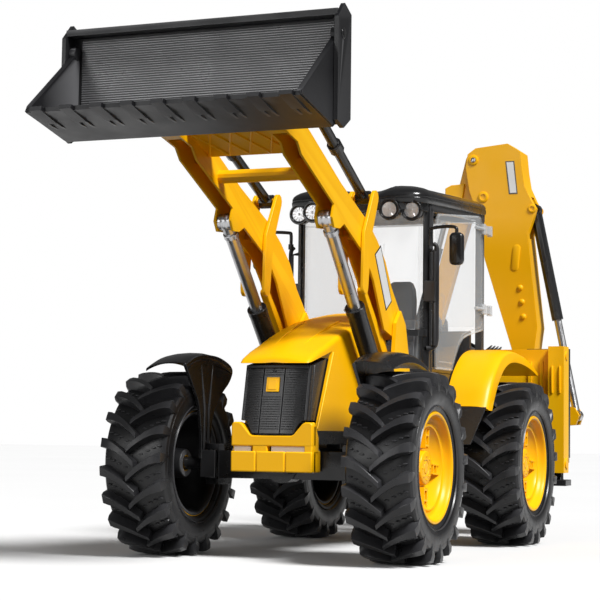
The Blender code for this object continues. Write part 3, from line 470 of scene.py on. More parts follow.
def rim(end, side):
    """Deep-dish rim: rolled lip, dished disc, hub cap, four slotted clips, and a black lining that
    paints shade over its inner side.
    """
    s = SIDES[side]
    axle_y = AXLES[end]
    node = "rim_%s_%s" % (end, side)
    centre = (s * HALF_TRACK, axle_y, TYRE_R)
    bm = bmesh.new()
    profile = [(12.4, 0.01), (12.4, 3.4), (12.0, 3.7), (12.0, 4.3), (12.4, 4.6), (12.4, 9.2),
               (12.1, 9.8), (11.5, 10.1), (7.4, 10.4), (6.9, 11.0), (6.9, 13.2), (7.4, 15.0),
               (9.4, 19.5), (12.0, 22.9), (13.0, 23.8), (13.9, 24.3), (14.1, 25.0), (13.7, 25.6),
               (13.1, 26.2), (13.1, 28.6), (13.6, 29.4), (16.2, 30.3), (17.6, 30.7), (18.3, 31.2),
               (18.6, 32.0), (18.3, 33.0), (17.4, 33.4), (16.0, 33.2), (12.0, 32.4), (-14.0, 32.4),
               (-16.6, 32.8), (-16.9, 31.8), (-15.6, 30.2), (-12.0, 29.4), (9.8, 27.4),
               (10.6, 26.6), (10.3, 25.2), (3.8, 13.4), (3.2, 11.0), (3.0, 9.4), (-9.4, 8.2),
               (-10.0, 7.8), (-10.0, 4.5), (4.5, 4.5), (4.5, 0.01)]
    turned(bm, profile, 80, centre, s)
    ahead = s * HALF_TRACK
    for k in range(4):
        turn = pi / 2 * k + radians(4)

        def at(x, radius, across):
            """A point of one clip: out from the wheel, along its radius and across it."""
            return (ahead + s * x, axle_y - radius * cos(turn) + across * sin(turn),
                    TYRE_R + radius * sin(turn) + across * cos(turn))

        for low, high, near, far, foot in (
                (11.6, 22.8, -3.2, -2.2, 6.4), (11.6, 22.8, 2.2, 3.2, 6.4),
                (12.4, 13.6, -2.5, 2.5, 6.4), (18.6, 19.8, -2.5, 2.5, 8.4)):
            loft(bm, [[at(x, low, near), at(x, high, near), at(x, high, far), at(x, low, far)]
                      for x in (foot, 12.5)])
    for k in range(8):
        turn = 2 * pi * k / 8
        spot = (ahead, axle_y + 7.0 * cos(turn), TYRE_R + 7.0 * sin(turn))
        turned(bm, [(12.0, 0.7), (12.7, 0.7), (12.9, 0.4)], 10, spot, s)
    finish_piece(node + "_look", bm, YELLOW, BODY_OF[node], node, bevel=0.12, sharp=45)
    # Painted shade: a black lining over the yellow rim's inner side, which would otherwise show
    # lit.
    bm = bmesh.new()
    painted_shade_lining = [(-16.2, 31.4), (-12.0, 30.2), (10.5, 28.2), (11.6, 26.0), (4.6, 13.0), (3.6, 9.0),
            (-9.2, 7.6), (-9.6, 5.4), (-10.4, 5.2), (-10.4, 8.3), (-9.7, 8.8), (2.7, 9.9),
            (2.9, 11.4), (3.5, 13.7), (9.9, 25.4), (10.1, 26.4), (9.5, 26.9), (-12.0, 28.9),
            (-15.6, 29.7), (-16.9, 30.6), (-17.1, 31.9), (-16.8, 32.3)]
    hoop(bm, end, side, painted_shade_lining, 72)
    finish_piece(node + "_painted_shade_lining", bm, SATIN, BODY_OF[node], sharp=35)


# ---------------------------------------------------------------- bonnet and nose

def bow(y, half, top, bottom, wall, count=7):
    """One bow of the bonnet, crowned, with rounded shoulders, out and back inside."""
    shoulder = 3.4

    def side(inset):
        """The bow's right half, from its foot up to the middle."""
        h = half - inset
        t = top - inset
        made = [(h, bottom), (h, bottom + (t - shoulder - bottom) * 0.5)]
        for k in range(count):
            a = pi / 2 * k / (count - 1)
            made.append((h - shoulder + (shoulder - 0.2) * cos(a),
                         t - shoulder + shoulder * sin(a)))
        for k in range(1, 5):
            f = k / 4
            made.append(((h - shoulder) * (1 - f), t + 2.6 * sin(pi / 2 * f)))
        return made

    outer = side(0)
    inner = side(wall)
    path = outer + [(-x, z) for x, z in reversed(outer[:-1])]
    back = inner + [(-x, z) for x, z in reversed(inner[:-1])]
    return [(x, y, z) for x, z in path + back[::-1]]


def cut(obj, cutters):
    """Solids taken out of an object, its mesh rebuilt in place."""
    for bm in cutters:
        bmesh.ops.recalc_face_normals(bm, faces=bm.faces)
        other = new_object("cutter", bm)
        bpy.context.scene.collection.objects.link(other)
        step = obj.modifiers.new("cut", "BOOLEAN")
        step.object = other
        step.solver = "EXACT"
        while obj.modifiers.find("cut") > 0:
            obj.modifiers.move(obj.modifiers.find("cut"), 0)
        shown = [(m, m.show_viewport) for m in obj.modifiers if m.name != "cut"]
        for m, _ in shown:
            m.show_viewport = False
        view = bpy.context.evaluated_depsgraph_get()
        made = bpy.data.meshes.new_from_object(obj.evaluated_get(view))
        obj.modifiers.remove(step)
        obj.data = made
        for m, on in shown:
            m.show_viewport = on
        bpy.data.objects.remove(other)
    obj.data.shade_smooth()
    obj.data.set_sharp_from_angle(angle=radians(35))


def bonnet():
    """Bonnet shell, its front corners cut back over the black cheeks, and its raised creases."""
    stations = [(-124.9, 22.4, 117.9), (-123.6, 23.2, 119.8), (-120.0, 23.6, 122.3),
                (-110, 23.9, 126.3), (-98, 24.1, 130.2), (-80, 24.2, 136.6), (-60, 24.2, 142.9),
                (-40, 24.2, 148.0), (-24, 24.2, 151.0), (-9.2, 24.2, 153.2)]
    bm = bmesh.new()
    loft(bm, [bow(y, half, top, 78.0, 1.8) for y, half, top in stations])
    obj = finish_piece("bonnet_shell", bm, YELLOW, "hood", "hood", bevel=0.35)
    cutters = []
    for outline in ([(-132, 118.4), (-124, 118.4), (-89, 127), (-114, 76), (-132, 70)],
                    [(-31, 70), (0, 70), (0, 91), (-31, 91)]):
        bm = bmesh.new()
        push(bm, "x", outline, -30, 30)
        cutters.append(bm)
    cut(obj, cutters)
    bm = bmesh.new()
    for s in (-1, 1):
        tube(bm, [(s * 9.5, -100, 131.3), (s * 10.6, -84, 137.2), (s * 11.4, -66, 143.2),
                  (s * 12, -46, 148.8)], [0.2, 0.55, 0.6, 0.3], 8)
        tube(bm, [(s * 24.1, -88, 126.4), (s * 24.1, -113, 79)], 0.5, 8)
    finish_piece("bonnet_creases", bm, YELLOW, "hood", sharp=40)


GRILLE_TOP = 117.4
GRILLE_FOOT = 76.2
GRILLE_LEAN = 8.6              # how far its foot stands ahead of its top


def grille_y(x, z):
    """Where the grille's leaning face lies; it is bowed back toward both sides."""
    sunk = (GRILLE_TOP - z) / (GRILLE_TOP - GRILLE_FOOT)
    return -118.3 - GRILLE_LEAN * sunk + 0.0045 * x * x


def grille_bottom(x):
    """How low the grille's panel reaches: chamfered at both lower corners."""
    return 83.8 if abs(x) > 18 else max(GRILLE_FOOT, GRILLE_FOOT + (abs(x) - 13) * 1.52)


def nose():
    """Leaning grille in three fields with fine bars, a keyhole, a plain badge and cheeks."""
    bm = bmesh.new()
    for low, high in ((-20.6, -8.9), (-8.3, 4.9), (5.5, 20.6)):
        marks = sorted({low + (high - low) * k / 8 for k in range(9)}
                       | {m for m in (-13, 13) if low < m < high})
        loops = []
        for x in marks:
            foot, face = grille_bottom(x), grille_y(x, GRILLE_TOP)
            loops.append([(x, grille_y(x, foot), foot), (x, face, GRILLE_TOP),
                          (x, face + 2.4, GRILLE_TOP), (x, grille_y(x, foot) + 2.4, foot)])
        loft(bm, loops)
    for k in range(25):
        z = 78.5 + 1.48 * k
        for low, high in ((-19.8, -9.4), (-7.8, 4.4), (6.0, 19.8)):
            if z < 85:
                low = max(low, -14.0)
                high = min(high, 14.0)
            if 99 < z < 111 and low == -7.8:
                continue           # the badge sits here
            loft(bm, [[(x, grille_y(x, z) + out, z + up) for out, up in
                       ((0.3, 0.0), (-0.16, 0.1), (-0.16, 0.62), (0.3, 0.72))]
                      for x in [low + (high - low) * j / 6 for j in range(7)]])
    loft(bm, [[(x, grille_y(x, GRILLE_TOP) + out, z) for out, z in
               ((-1.0, 115.3), (-1.6, 116.0), (-1.6, 117.3), (1.6, 117.3), (1.6, 115.3))]
              for x in [-20.6 + 4.12 * j for j in range(11)]])
    finish_piece("grille_panel", bm, BLACK, "chassis", "front_grille", bevel=0.18)
    bm = bmesh.new()
    foot, head = grille_y(20, 84), grille_y(20, GRILLE_TOP)
    for s in (-1, 1):
        plate(bm, s, 19.8, 21.6,
              [(foot + 0.8, 84), (-108.6, 84), (-90.6, 122.4), (head + 0.8, GRILLE_TOP)])
        tube(bm, [(s * 20.3, foot + 1.0, 84), (s * 20.2, head + 1.0, GRILLE_TOP)], 1.4, 16)
        tube(bm, [(s * 21.5, foot + 5.0, 84.4), (s * 21.4, grille_y(20, 117) + 5.0, GRILLE_TOP)],
             0.5, 10)
    at = grille_y(0, 114.2)
    turned(bm, [(at - 0.3, 1.25), (at - 0.7, 1.15), (at - 0.7, 0.6), (at - 0.1, 0.5)], 20,
           (-1.6, 0, 113.8), 1, "y")
    finish_piece("grille_cheeks", bm, BLACK, "chassis", bevel=0.25)
    for name, low, high, heights, out in (
            ("grille_badge", -5.8, 2.4, (101.2, 110.0), 1.3),
            ("grille_badge_field", -4.6, 1.2, (102.4, 108.8), 1.6)):
        bm = bmesh.new()
        loft(bm, [[(low, grille_y(0, z) - out, z), (high, grille_y(0, z) - out, z),
                   (high, grille_y(0, z) + 0.4, z), (low, grille_y(0, z) + 0.4, z)]
                  for z in heights])
        finish_piece(name, bm, YELLOW, "chassis", bevel=0.3, segments=3)


def bumper_piece():
    """Counterweight: horned upper beam, grooved lower beam, a pale strip in the slot between."""
    bm = bmesh.new()
    half = [(26.5, 68.5), (26.5, 81.2), (25.3, 82.9), (21.8, 83.0), (19.8, 82.0), (14.2, 75.6),
            (12.6, 74.9)]
    push(bm, "y", half + [(-x, z) for x, z in reversed(half)], -126.6, -120.6)
    for low, high in ((-26.5, -10.4), (-9.8, 8.7), (9.3, 26.5)):
        block(bm, (low, -127.0, 53.0), (high, -120.5, 65.4))
    block(bm, (-26.0, -126.4, 53.4), (26.0, -120.9, 65.0))
    for s in (-1, 1):
        plate(bm, s, 24.3, 26.5, [(-124, 53), (-113, 53), (-113, 66), (-124, 66)])
        plate(bm, s, 24.3, 26.5, [(-124, 64), (-116, 64), (-116, 74), (-122, 83), (-124, 83)])
    block(bm, (-12.6, -126.4, 64.0), (-2.8, -121, 69.5))
    block(bm, (21.2, -126.5, 64.0), (26.4, -121, 69.5))
    finish_piece("front_bumper_look", bm, YELLOW, "chassis", "front_bumper", bevel=0.75,
                 segments=3)
    bm = bmesh.new()
    block(bm, (-25.4, -124.6, 64.6), (-14.2, -121.4, 69.2))
    block(bm, (-0.9, -124.6, 64.6), (21.4, -121.4, 69.2))
    finish_piece("front_bumper_strip", bm, PANEL, "chassis", slot="grey_plastic", bevel=0.2)


def knuckle_piece(side):
    """Steering knuckle with a crowned, swept mudguard on a fluted bracket."""
    s = SIDES[side]
    node = "steering_knuckle_" + side
    bm = bmesh.new()
    side_block(bm, s, 45.0, 55.0, (-110, 48.6), (-98, 65.4))
    bar(bm, (s * 50.0, -104, 44.5), (s * 50.0, -104, 69.4), 2.1, 20)
    bar(bm, (s * 54.0, -104, TYRE_R), (s * (HALF_TRACK + 4), -104, TYRE_R), 4.0, 24)
    side_block(bm, s, 46.0, 51.0, (-99, 50), (-84, 54.5))
    rear = smooth_path([(-134, 117.4), (-120, 122.4), (-104, 124.4), (-84, 123.2), (-67, 117.4),
                        (-70, 109), (-84, 99), (-94, 87), (-97, 74), (-97.6, 60)], 44)
    front = smooth_path([(-110.4, 60), (-111, 76), (-115, 94), (-125, 107)], 16)
    plate(bm, s, 54.0, 56.2, rear + front)
    for y in (-101.2, -106.8):
        tube(bm, [(s * 54.4, y, 62), (s * 54.0, y, 90), (s * 54.4, y + (y + 104) * 2.0, 118)],
             [1.0, 1.1, 0.7], 8)
    loops = []
    # Bows of the guard from its inner to its outer edge: across, drop, front end, rear end.
    for x, drop, front, rear in (
            (53.6, 5.2, -131, -68), (54.2, 2.6, -132, -67), (56.0, 1.1, -133, -66),
            (60.0, 0.2, -134.2, -65), (66.0, 0.0, -135.4, -64.2), (72.0, 0.4, -136.4, -64),
            (77.0, 1.4, -137.2, -64.4), (79.3, 2.8, -137.6, -65.6), (79.8, 4.4, -137.0, -67)):
        top = []
        for k in range(17):
            y = front + (rear - front) * (k / 16)
            crown = 125.9 - 7.6 * ((y + 101.0) / 35.5) ** 2
            top.append((y, crown - drop))
        under = [(top[k][0], top[k][1] - 0.7 - 1.7 * sin(pi * k / 16)) for k in range(16, -1, -1)]
        loops.append([(s * x, y, z) for y, z in top + under])
    loft(bm, loops)
    finish_piece(node + "_look", bm, BLACK, BODY_OF[node], node, bevel=0.35, sharp=40)


# ---------------------------------------------------------------- loader bucket

def bucket_details():
    """Ribbed lining of the bucket wall, ribs behind each tooth, and caps on the jaw's hinge."""
    bm = bmesh.new()
    pitch = 1.35
    outline = [(-225.6, 247.6)]
    z = 248.0
    while z < 299.0:
        outline += [(-226.5, z), (-227.0, z + 0.35), (-227.0, z + 0.85), (-226.5, z + pitch)]
        z += pitch
    outline.append((-225.6, z))
    push(bm, "x", outline, -77.6, 77.6)
    finish_piece("bucket_wall_ribs", bm, RIBBED, "bucket_back", sharp=25)
    bm = bmesh.new()
    for k in range(9):
        for off in (-2.6, 2.6):
            x = -73.6 + 18.4 * k + off
            loft(bm, [[(x - 0.9, y, high), (x + 0.9, y, high), (x + 0.9, y, low), (x - 0.9, y, low)]
                      for y, high, low in ((-279, 249.0, 248.3), (-262, 246.2, 244.1),
                                           (-254, 244.0, 243.4))])
    finish_piece("bucket_floor_ribs", bm, SATIN, "bucket_clam", bevel=0.2)
    bm = bmesh.new()
    for s in (-1, 1):
        turned(bm, [(0, 3.0), (0.5, 3.0), (0.7, 2.6)], 24, (s * 84.5, -230.8, 291.0), s)
    finish_piece("bucket_hinge_caps", bm, BLACK, "bucket_back", bevel=0.15)


# ---------------------------------------------------------------- arms

def arm_details():
    """Lattice in and between the arms, pivot bosses and plain side panels."""
    bm = bmesh.new()
    for s in (-1, 1):
        a, b = sorted((s * 28.9, s * 37.6))
        for ends in (((-186, 246), (-174, 247.5)), ((-160, 236), (-148, 238)),
                     ((-104, 205), (-96, 214)), ((-88, 198), (-80, 207))):
            loft(bm, [[(a, y, z), (b, y, z), (b, y + 1.2, z + 0.4), (a, y + 1.2, z + 0.4)]
                      for y, z in ends])
    bay = 13.25
    for k in range(4):
        x = -26.5 + bay * k
        for start, end in ((x + bay, x), (x, x + bay)):
            tube(bm, [(start, -191, 249.0), (end, -163, 239.8)], 0.7, 6)
    finish_piece("arm_lattice", bm, YELLOW, "loader_arms", sharp=40)
    bm = bmesh.new()
    for s in (-1, 1):
        for point, r in ((ARM_PIVOT, 6.5), (ARM_HEAD, 5.0)):
            turned(bm, [(0.0, r), (0.55, r), (0.8, r - 0.5), (0.8, r * 0.62), (0.3, r * 0.55)], 32,
                   (s * 39.0, *point), s)
    finish_piece("arm_bosses", bm, YELLOW, "loader_arms", bevel=0.1)
    for kind, look, inset, lift in (("edge", BLACK, 0.0, 0.0), ("field", PANEL, 1.1, 0.12)):
        bm = bmesh.new()
        for s in (-1, 1):
            start, end = Vector((-51.5, 193.0)), Vector((-30.0, 158.5))
            along = (end - start).normalized()
            across = Vector((-along.y, along.x)) * (6.4 - inset)
            start += along * inset
            end -= along * inset
            shape = [start - across, end - across, end + across, start + across]
            plate(bm, s, 38.9, 39.25 + lift, [(p.x, p.y) for p in shape])
        finish_piece("arm_panel_" + kind, bm, look, "loader_arms", slot="yellow_plastic",
                     bevel=0.08)


def ram_details():
    """Collars on the lift barrels, and the rods' plated ball ends."""
    for side, s in SIDES.items():
        bm = bmesh.new()
        foot = Vector((s * RAM_X, *RAM_FOOT))
        head = Vector((s * RAM_X, *RAM_TOP))
        along = (head - foot).normalized()
        bar(bm, foot + along * 66.0, foot + along * 70.6, 6.35)
        bar(bm, foot + along * 17.0, foot + along * 20.0, 6.3)
        finish_piece("lift_barrel_collar_" + side, bm, BLACK, "lift_barrel_" + side, bevel=0.3)
        bm = bmesh.new()
        turned(bm, [(-4.1, 3.0), (-3.4, 4.2), (-2.2, 5.0), (0.0, 5.4), (2.2, 5.0), (3.4, 4.2),
                    (4.1, 3.0)], 32, head)
        bar(bm, head - along * 11.5, head - along * 8.2, 4.7)
        finish_piece("lift_rod_ball_" + side, bm, SILVER, "lift_rod_" + side, bevel=0.25)


# ---------------------------------------------------------------- cab

CAB_HALF = 48.5
CAB_REAR = 150
HEAD_RISE = 0.051              # how fast the cab's head climbs toward the rear
# Half of the bowed front in plan, from the corner to the middle.
CAB_BOW = [(47.2, 27), (45.2, 19.5), (38, 12.5), (26, 7.0), (13, 3.8), (0, 2.8)]
ROOF_BOW = [(48.3, 25), (47.4, 16.5), (42.0, 10.0), (28, 5.4), (13, 3.0), (0, 2.4)]


def raised(x, y, z):
    """A point of the cab's head, lifted toward the rear as the CAD's is."""
    share = min(1.0, max(0.0, (z - 150.0) / 72.0))
    return (x, y, z + HEAD_RISE * share * (y - 25.0))


def cab_plan(inset, bow_points=CAB_BOW):
    """The cab in plan: a bowed front with rounded shoulders, straight sides, a straight back."""
    points = []
    for p in smooth_path(bow_points, 15):
        length = hypot(p.x, 40)
        points.append((p.x - inset * p.x / length, p.y + inset * 40 / length))
    half, rear = CAB_HALF - inset, CAB_REAR - inset
    corner = [(half - 4, rear), (half - 1.2, rear - 1.2), (half, rear - 4), (half, 34)]
    left = corner + points
    return left + [(-x, y) for x, y in reversed(left[:-1])]


def roof_piece():
    """Domed roof with a brow and a drip edge, and four round lamps with clear lenses."""
    bm = bmesh.new()
    levels = [(1.4, 231.0), (-1.0, 231.2), (-1.6, 232.0), (-1.8, 234.6), (-1.3, 235.1),
              (-1.5, 235.7), (-1.4, 236.8), (-0.6, 238.4), (1.2, 239.8), (4.4, 241.3),
              (9.0, 242.6), (15.0, 243.7), (23.0, 244.5), (33.0, 244.8)]

    def dipped(x, y, z):
        """A roof point, lowered between the lamps toward the front."""
        across = max(0.0, 1.0 - (x / 25.0) ** 2)
        back = max(0.0, 1.0 - max(0.0, y - 8.0) / 62.0)
        return raised(x, y, z - 6.2 * across * back * min(1.0, max(0.0, (z - 231.4) / 8.0)))

    loft(bm, [[dipped(x, y, z) for x, y in cab_plan(inset, ROOF_BOW)] for inset, z in levels])
    brow = [(18.5, 4.2), (22.0, 3.9), (31.0, 7.0), (38.0, 10.8), (44.5, 16.0), (47.6, 21.5),
            (47.6, 24.0), (40.0, 18.0), (30.0, 12.0), (18.5, 8.6)]
    for s in (-1, 1):
        loft(bm, [[(s * x, y - lead, z) for x, y in brow]
                  for z, lead in ((225.6, 0.0), (226.0, 0.8), (232.6, 1.6))])
    finish_piece("roof_shell", bm, BLACK, "chassis", "cab_roof", bevel=0.4, sharp=40)
    bm = bmesh.new()
    glass = bmesh.new()
    bowl = bmesh.new()
    lamp_z, r = 225.4, 6.6
    for s in (-1, 1):
        for x, y in ((27.5, 7.5), (40.5, 15.5)):
            centre = (s * x, y, lamp_z)
            turned(bm, [(4.0, 4.2), (1.0, r - 0.4), (-4.0, r + 0.4), (-6.6, r + 0.6),
                        (-7.3, r + 0.3), (-7.3, r - 0.5), (-6.2, r - 1.2), (-5.2, 0.4)],
                   36, centre, 1, "y")
            turned(bowl, [(-6.4, r - 1.55), (-6.5, r - 1.7), (-5.5, r * 0.5), (-5.3, 0.3)], 28,
                   centre, 1, "y")
            turned(bowl, [(-5.4, 1.0), (-6.4, 0.9), (-6.8, 0.3)], 16, centre, 1, "y")
            for k in range(12):
                turn = 2 * pi * k / 12
                bar(bowl, (s * x + 1.2 * cos(turn), y - 5.9, lamp_z + 1.2 * sin(turn)),
                    (s * x + 4.6 * cos(turn), y - 6.5, lamp_z + 4.6 * sin(turn)), 0.32, 6)
            turned(glass, [(-6.6, r - 1.3), (-7.2, r - 1.5), (-7.9, r * 0.5), (-8.1, 0.3)], 32,
                   centre, 1, "y")
            block(bm, (s * x - 3.6, y - 5.0, 229.6), (s * x + 3.6, y + 2.0, 233.2))
    finish_piece("roof_lamp_cups", bm, BLACK, "chassis", bevel=0.15)
    finish_piece("roof_lamp_bowls", bowl, SILVER, "chassis")
    finish_piece("roof_lamp_lenses", glass, LENS, "chassis")


def window_details():
    """Raised frames moulded on the windscreen, its black sill with two posts, and the wiper."""
    bm = bmesh.new()
    pane = [(42.0, 16.6, 124.5), (43.2, 17.4, 150), (43.2, 17.4, 219), (40.5, 15.0, 222.5),
            (28, 9.6, 223.4), (12, 6.2, 223.6), (0, 5.4, 223.6)]
    rung = [(42.0, 16.6, 143), (28, 9.4, 143), (12, 5.9, 143), (0, 5.2, 143)]
    for s in (-1, 1):
        tube(bm, [(s * x, y, z) for x, y, z in pane], 0.75, 8)
        tube(bm, [(s * x, y, z) for x, y, z in rung], 0.6, 8)
    finish_piece("windscreen_frame", bm, CLEAR, "chassis")
    bm = bmesh.new()
    front = cab_plan(-0.2)[4:-4]
    inner = cab_plan(2.6)[4:-4]
    push(bm, "z", front + inner[::-1], 141.8, 146.6)
    for s in (-1, 1):
        post = [(s * 28.0, 7.0), (s * 30.6, 8.2), (s * 31.6, 10.4), (s * 29.0, 9.2)]
        push(bm, "z", post, 121.6, 142.0)
    finish_piece("windscreen_sill", bm, BLACK, "chassis", bevel=0.4)
    bm = bmesh.new()
    tube(bm, [(22, 7.2, 203), (20.0, 6.8, 180), (18.5, 6.6, 161)], 0.8, 8)
    tube(bm, [(3.0, 5.4, 168), (9.0, 5.6, 172), (19.4, 6.9, 181)], 0.65, 8)
    finish_piece("windscreen_wiper", bm, CLEAR, "chassis")


def door_piece(side):
    """Clear side door with raised lines, a handle and hinge tabs, and its hinges' fixed halves."""
    s = SIDES[side]
    node = "door_" + side
    outline = [(34, 120.4), (33.4, 124), (33.4, 219), (35, 223), (38.6, 225.4), (129, 229.6),
               (134.6, 228.6), (138.2, 224.6), (142.3, 200), (142.3, 154.5), (140.6, 152.2),
               (118, 148.9), (104, 146.6), (92.6, 143.8), (84.0, 138.4), (76.6, 131.0),
               (68.0, 120.4)]
    bm = bmesh.new()
    outline = [raised(0, y, z)[1:] for y, z in outline]
    plate(bm, s, 49.0, 50.2, outline)
    centre = Vector([sum(values) / len(outline) for values in zip(*outline)])
    for shrink, radius in ((0.985, 0.75), (0.90, 0.4)):
        ring = [centre + (Vector(p) - centre) * shrink for p in outline]
        loops = []
        for i, p in enumerate(ring):
            ahead = ring[(i + 1) % len(ring)]
            behind = ring[i - 1]
            along = (ahead - behind).normalized()
            out = Vector((along.y, -along.x))
            loops.append([(s * 50.1 + s * radius * sin(t), *(p + out * radius * cos(t)))
                          for t in [pi / 4 * k for k in range(8)]])
        loft(bm, loops, ring=True)
    tube(bm, [(s * 50.2, 44, 148), (s * 51.9, 44, 150), (s * 51.9, 44, 170), (s * 50.2, 44, 172)],
         0.9, 10)
    finish_piece(node + "_look", bm, CLEAR, BODY_OF[node], node, bevel=0.15)
    bm = bmesh.new()
    fixed = bmesh.new()
    for z in (167.5, 226):
        side_block(bm, s, 49.6, 52.6, (136.0, z - 3.2), (151.2, z + 3.2))
        tube(bm, [(s * 50.3, 122, z), (s * 51.2, 132, z), (s * 51.6, 140, z)], 1.3, 10)
        bar(bm, (s * 51.1, 138.0, z - 3.9), (s * 51.1, 138.0, z + 3.9), 2.0, 16)
        side_block(fixed, s, 49.6, 52.6, (152.4, z - 3.2), (156.6, z + 3.2))
        bar(fixed, (s * 51.1, 154.5, z - 3.9), (s * 51.1, 154.5, z + 3.9), 2.0, 16)
    finish_piece(node + "_tabs", bm, TAB, BODY_OF[node], bevel=0.4)
    finish_piece("cab_hinge_blocks_" + side, fixed, TAB, "chassis", bevel=0.4)


def mirror_piece(side):
    """Mirror on a twice-bent stalk: a rounded housing, hollow at the back."""
    s = SIDES[side]
    node = "mirror_" + side
    bm = bmesh.new()
    stalk = [(50.6, 19, 204.5), (50.6, 19, 212.5), (52.5, 18.4, 214.0), (64, 13.8, 214.2),
             (70.5, 12.2, 213.0), (71, 12.2, 209)]
    tube(bm, smooth_path([(s * x, y, z) for x, y, z in stalk], 26), 1.15, 12)
    bar(bm, (s * 50.6, 19, 202.5), (s * 50.6, 19, 206), 1.8, 14)
    outline = []
    for cx, cz, a0 in ((72.6, 206.6, 0), (69.4, 206.6, 90), (69.4, 191.4, 180), (72.6, 191.4, 270)):
        turns = [radians(a0 + 22.5 * i) for i in range(5)]
        outline += [(s * (cx + 3.2 * cos(t)), cz + 3.2 * sin(t)) for t in turns]
    mid_x, mid_z = s * 71, 199
    loops = []
    for y, size in ((10.1, 0.72), (10.6, 0.9), (11.6, 1.0), (13.8, 1.0), (14.4, 0.96),
                    (14.4, 0.84), (14.0, 0.82)):
        loops.append([(mid_x + (x - mid_x) * size, y, mid_z + (z - mid_z) * (1 - (1 - size) * 0.5))
                      for x, z in outline])
    loft(bm, loops)
    finish_piece(node + "_look", bm, BLACK, BODY_OF[node], node, bevel=0.12)


def cab_trim():
    """Grab rails on the front posts, and the seat's rolled back with ribs below it."""
    bm = bmesh.new()
    rail = [(46.5, 23.0, 134.0), (50.8, 25.0, 134.6), (53.0, 25.2, 138.0), (53.2, 25.2, 150),
            (53.2, 25.2, 190), (53.0, 25.2, 201.5), (50.6, 24.6, 204.4)]
    for s in (-1, 1):
        tube(bm, smooth_path([(s * x, y, z) for x, y, z in rail], 40), 1.5, 12)
        side_block(bm, s, 45.5, 53.4, (20.6, 165), (30, 179))
    finish_piece("cab_grab_rails", bm, SATIN, "chassis", bevel=0.4)
    bm = bmesh.new()
    tube(bm, [(-11, 103.4, 155.5), (11, 103.4, 155.5)], 2.4, 14)
    section = ((-1, 0.3), (-0.86, 0.0), (0.86, 0.0), (1, 0.3), (1, 0.8), (0.86, 1.0),
               (-0.86, 1.0), (-1, 0.8))
    loft(bm, [[(side * half, 99.4 + lean + thick * deep, z) for side, deep in section]
              for z, half, lean, thick in (
                  (152, 11.2, 0.0, 5.0), (160, 11.8, 1.0, 5.4), (172, 11.6, 2.4, 5.2),
                  (180, 10.6, 3.4, 4.8), (184.5, 8.6, 4.2, 4.0), (186, 6.4, 4.8, 2.8))])
    for k in range(4):
        block(bm, (-11.5, 93.0 + 1.8 * k, 118 + 9 * k), (11.5, 94.6 + 1.8 * k, 124 + 9 * k))
    finish_piece("seat_rolls", bm, SATIN, "chassis", bevel=0.5)


# ---------------------------------------------------------------- digger

def stadium(centre, half, radius, tilt):
    """A long round-ended outline about a point, leaning by an angle."""
    made = []
    for end in (1, -1):
        for i in range(9):
            a = radians(-90 + 22.5 * i) + (0 if end > 0 else pi)
            x, z = -radius * sin(a), end * (half + radius * abs(cos(a)))
            made.append((centre[0] + x * cos(tilt) + z * sin(tilt),
                         centre[1] - x * sin(tilt) + z * cos(tilt)))
    return made


def digger_details():
    """Raised pads and studs on the boom, pivot caps, pin heads and a plain panel."""
    bm = bmesh.new()
    mid_x, mid_z = 49.0, 214.0
    shape = stadium((mid_x, mid_z), 7.5, 3.1, radians(6))
    for face, sign in ((231.6, -1), (252.4, 1)):
        loft(bm, [[(mid_x + (x - mid_x) * scale, face + sign * height, mid_z + (z - mid_z) * scale)
                   for x, z in shape]
                  for height, scale in ((-0.3, 1.0), (0.45, 0.97), (0.8, 0.84))])
        for x, z in ((52.6, 190.5), (54.0, 179.5), (55.2, 168.0)):
            turned(bm, [(-0.3, 2.3), (0.7, 2.2), (1.3, 1.5), (1.5, 0.4)], 20, (x, face, z), sign,
                   "y")
        for x, z, r in ((22.5, 262.5, 4.2), (62.0, 252.0, 3.4), (14.4, 292.0, 4.0),
                        (54.5, 118.0, 4.4)):
            turned(bm, [(-0.2, r), (0.6, r), (0.9, r - 0.5), (0.9, r * 0.55), (0.4, r * 0.5)], 28,
                   (x, face, z), sign, "y")
    finish_piece("boom_pads", bm, YELLOW, "boom", sharp=40)
    bm = bmesh.new()
    for face, sign in ((231.0, -1), (253.0, 1)):
        turned(bm, [(-0.4, 1.9), (0.6, 1.8), (1.0, 1.1), (1.1, 0.3)], 20, (14.4, face, 292.0),
               sign, "y")
    finish_piece("boom_pin_heads", bm, SILVER, "boom")
    for kind, look, inset, lift in (("edge", BLACK, 0.0, 0.0), ("field", PANEL, 0.9, 0.14)):
        bm = bmesh.new()
        push(bm, "y", [(40.4 + inset, 290 - inset), (47.6 - inset, 290 - inset),
                       (50.4 - inset, 264 + inset), (43.4 + inset, 264 + inset)],
             231.6 - 0.28 - lift, 231.8)
        finish_piece("boom_panel_" + kind, bm, look, "boom", slot="yellow_plastic", bevel=0.06)


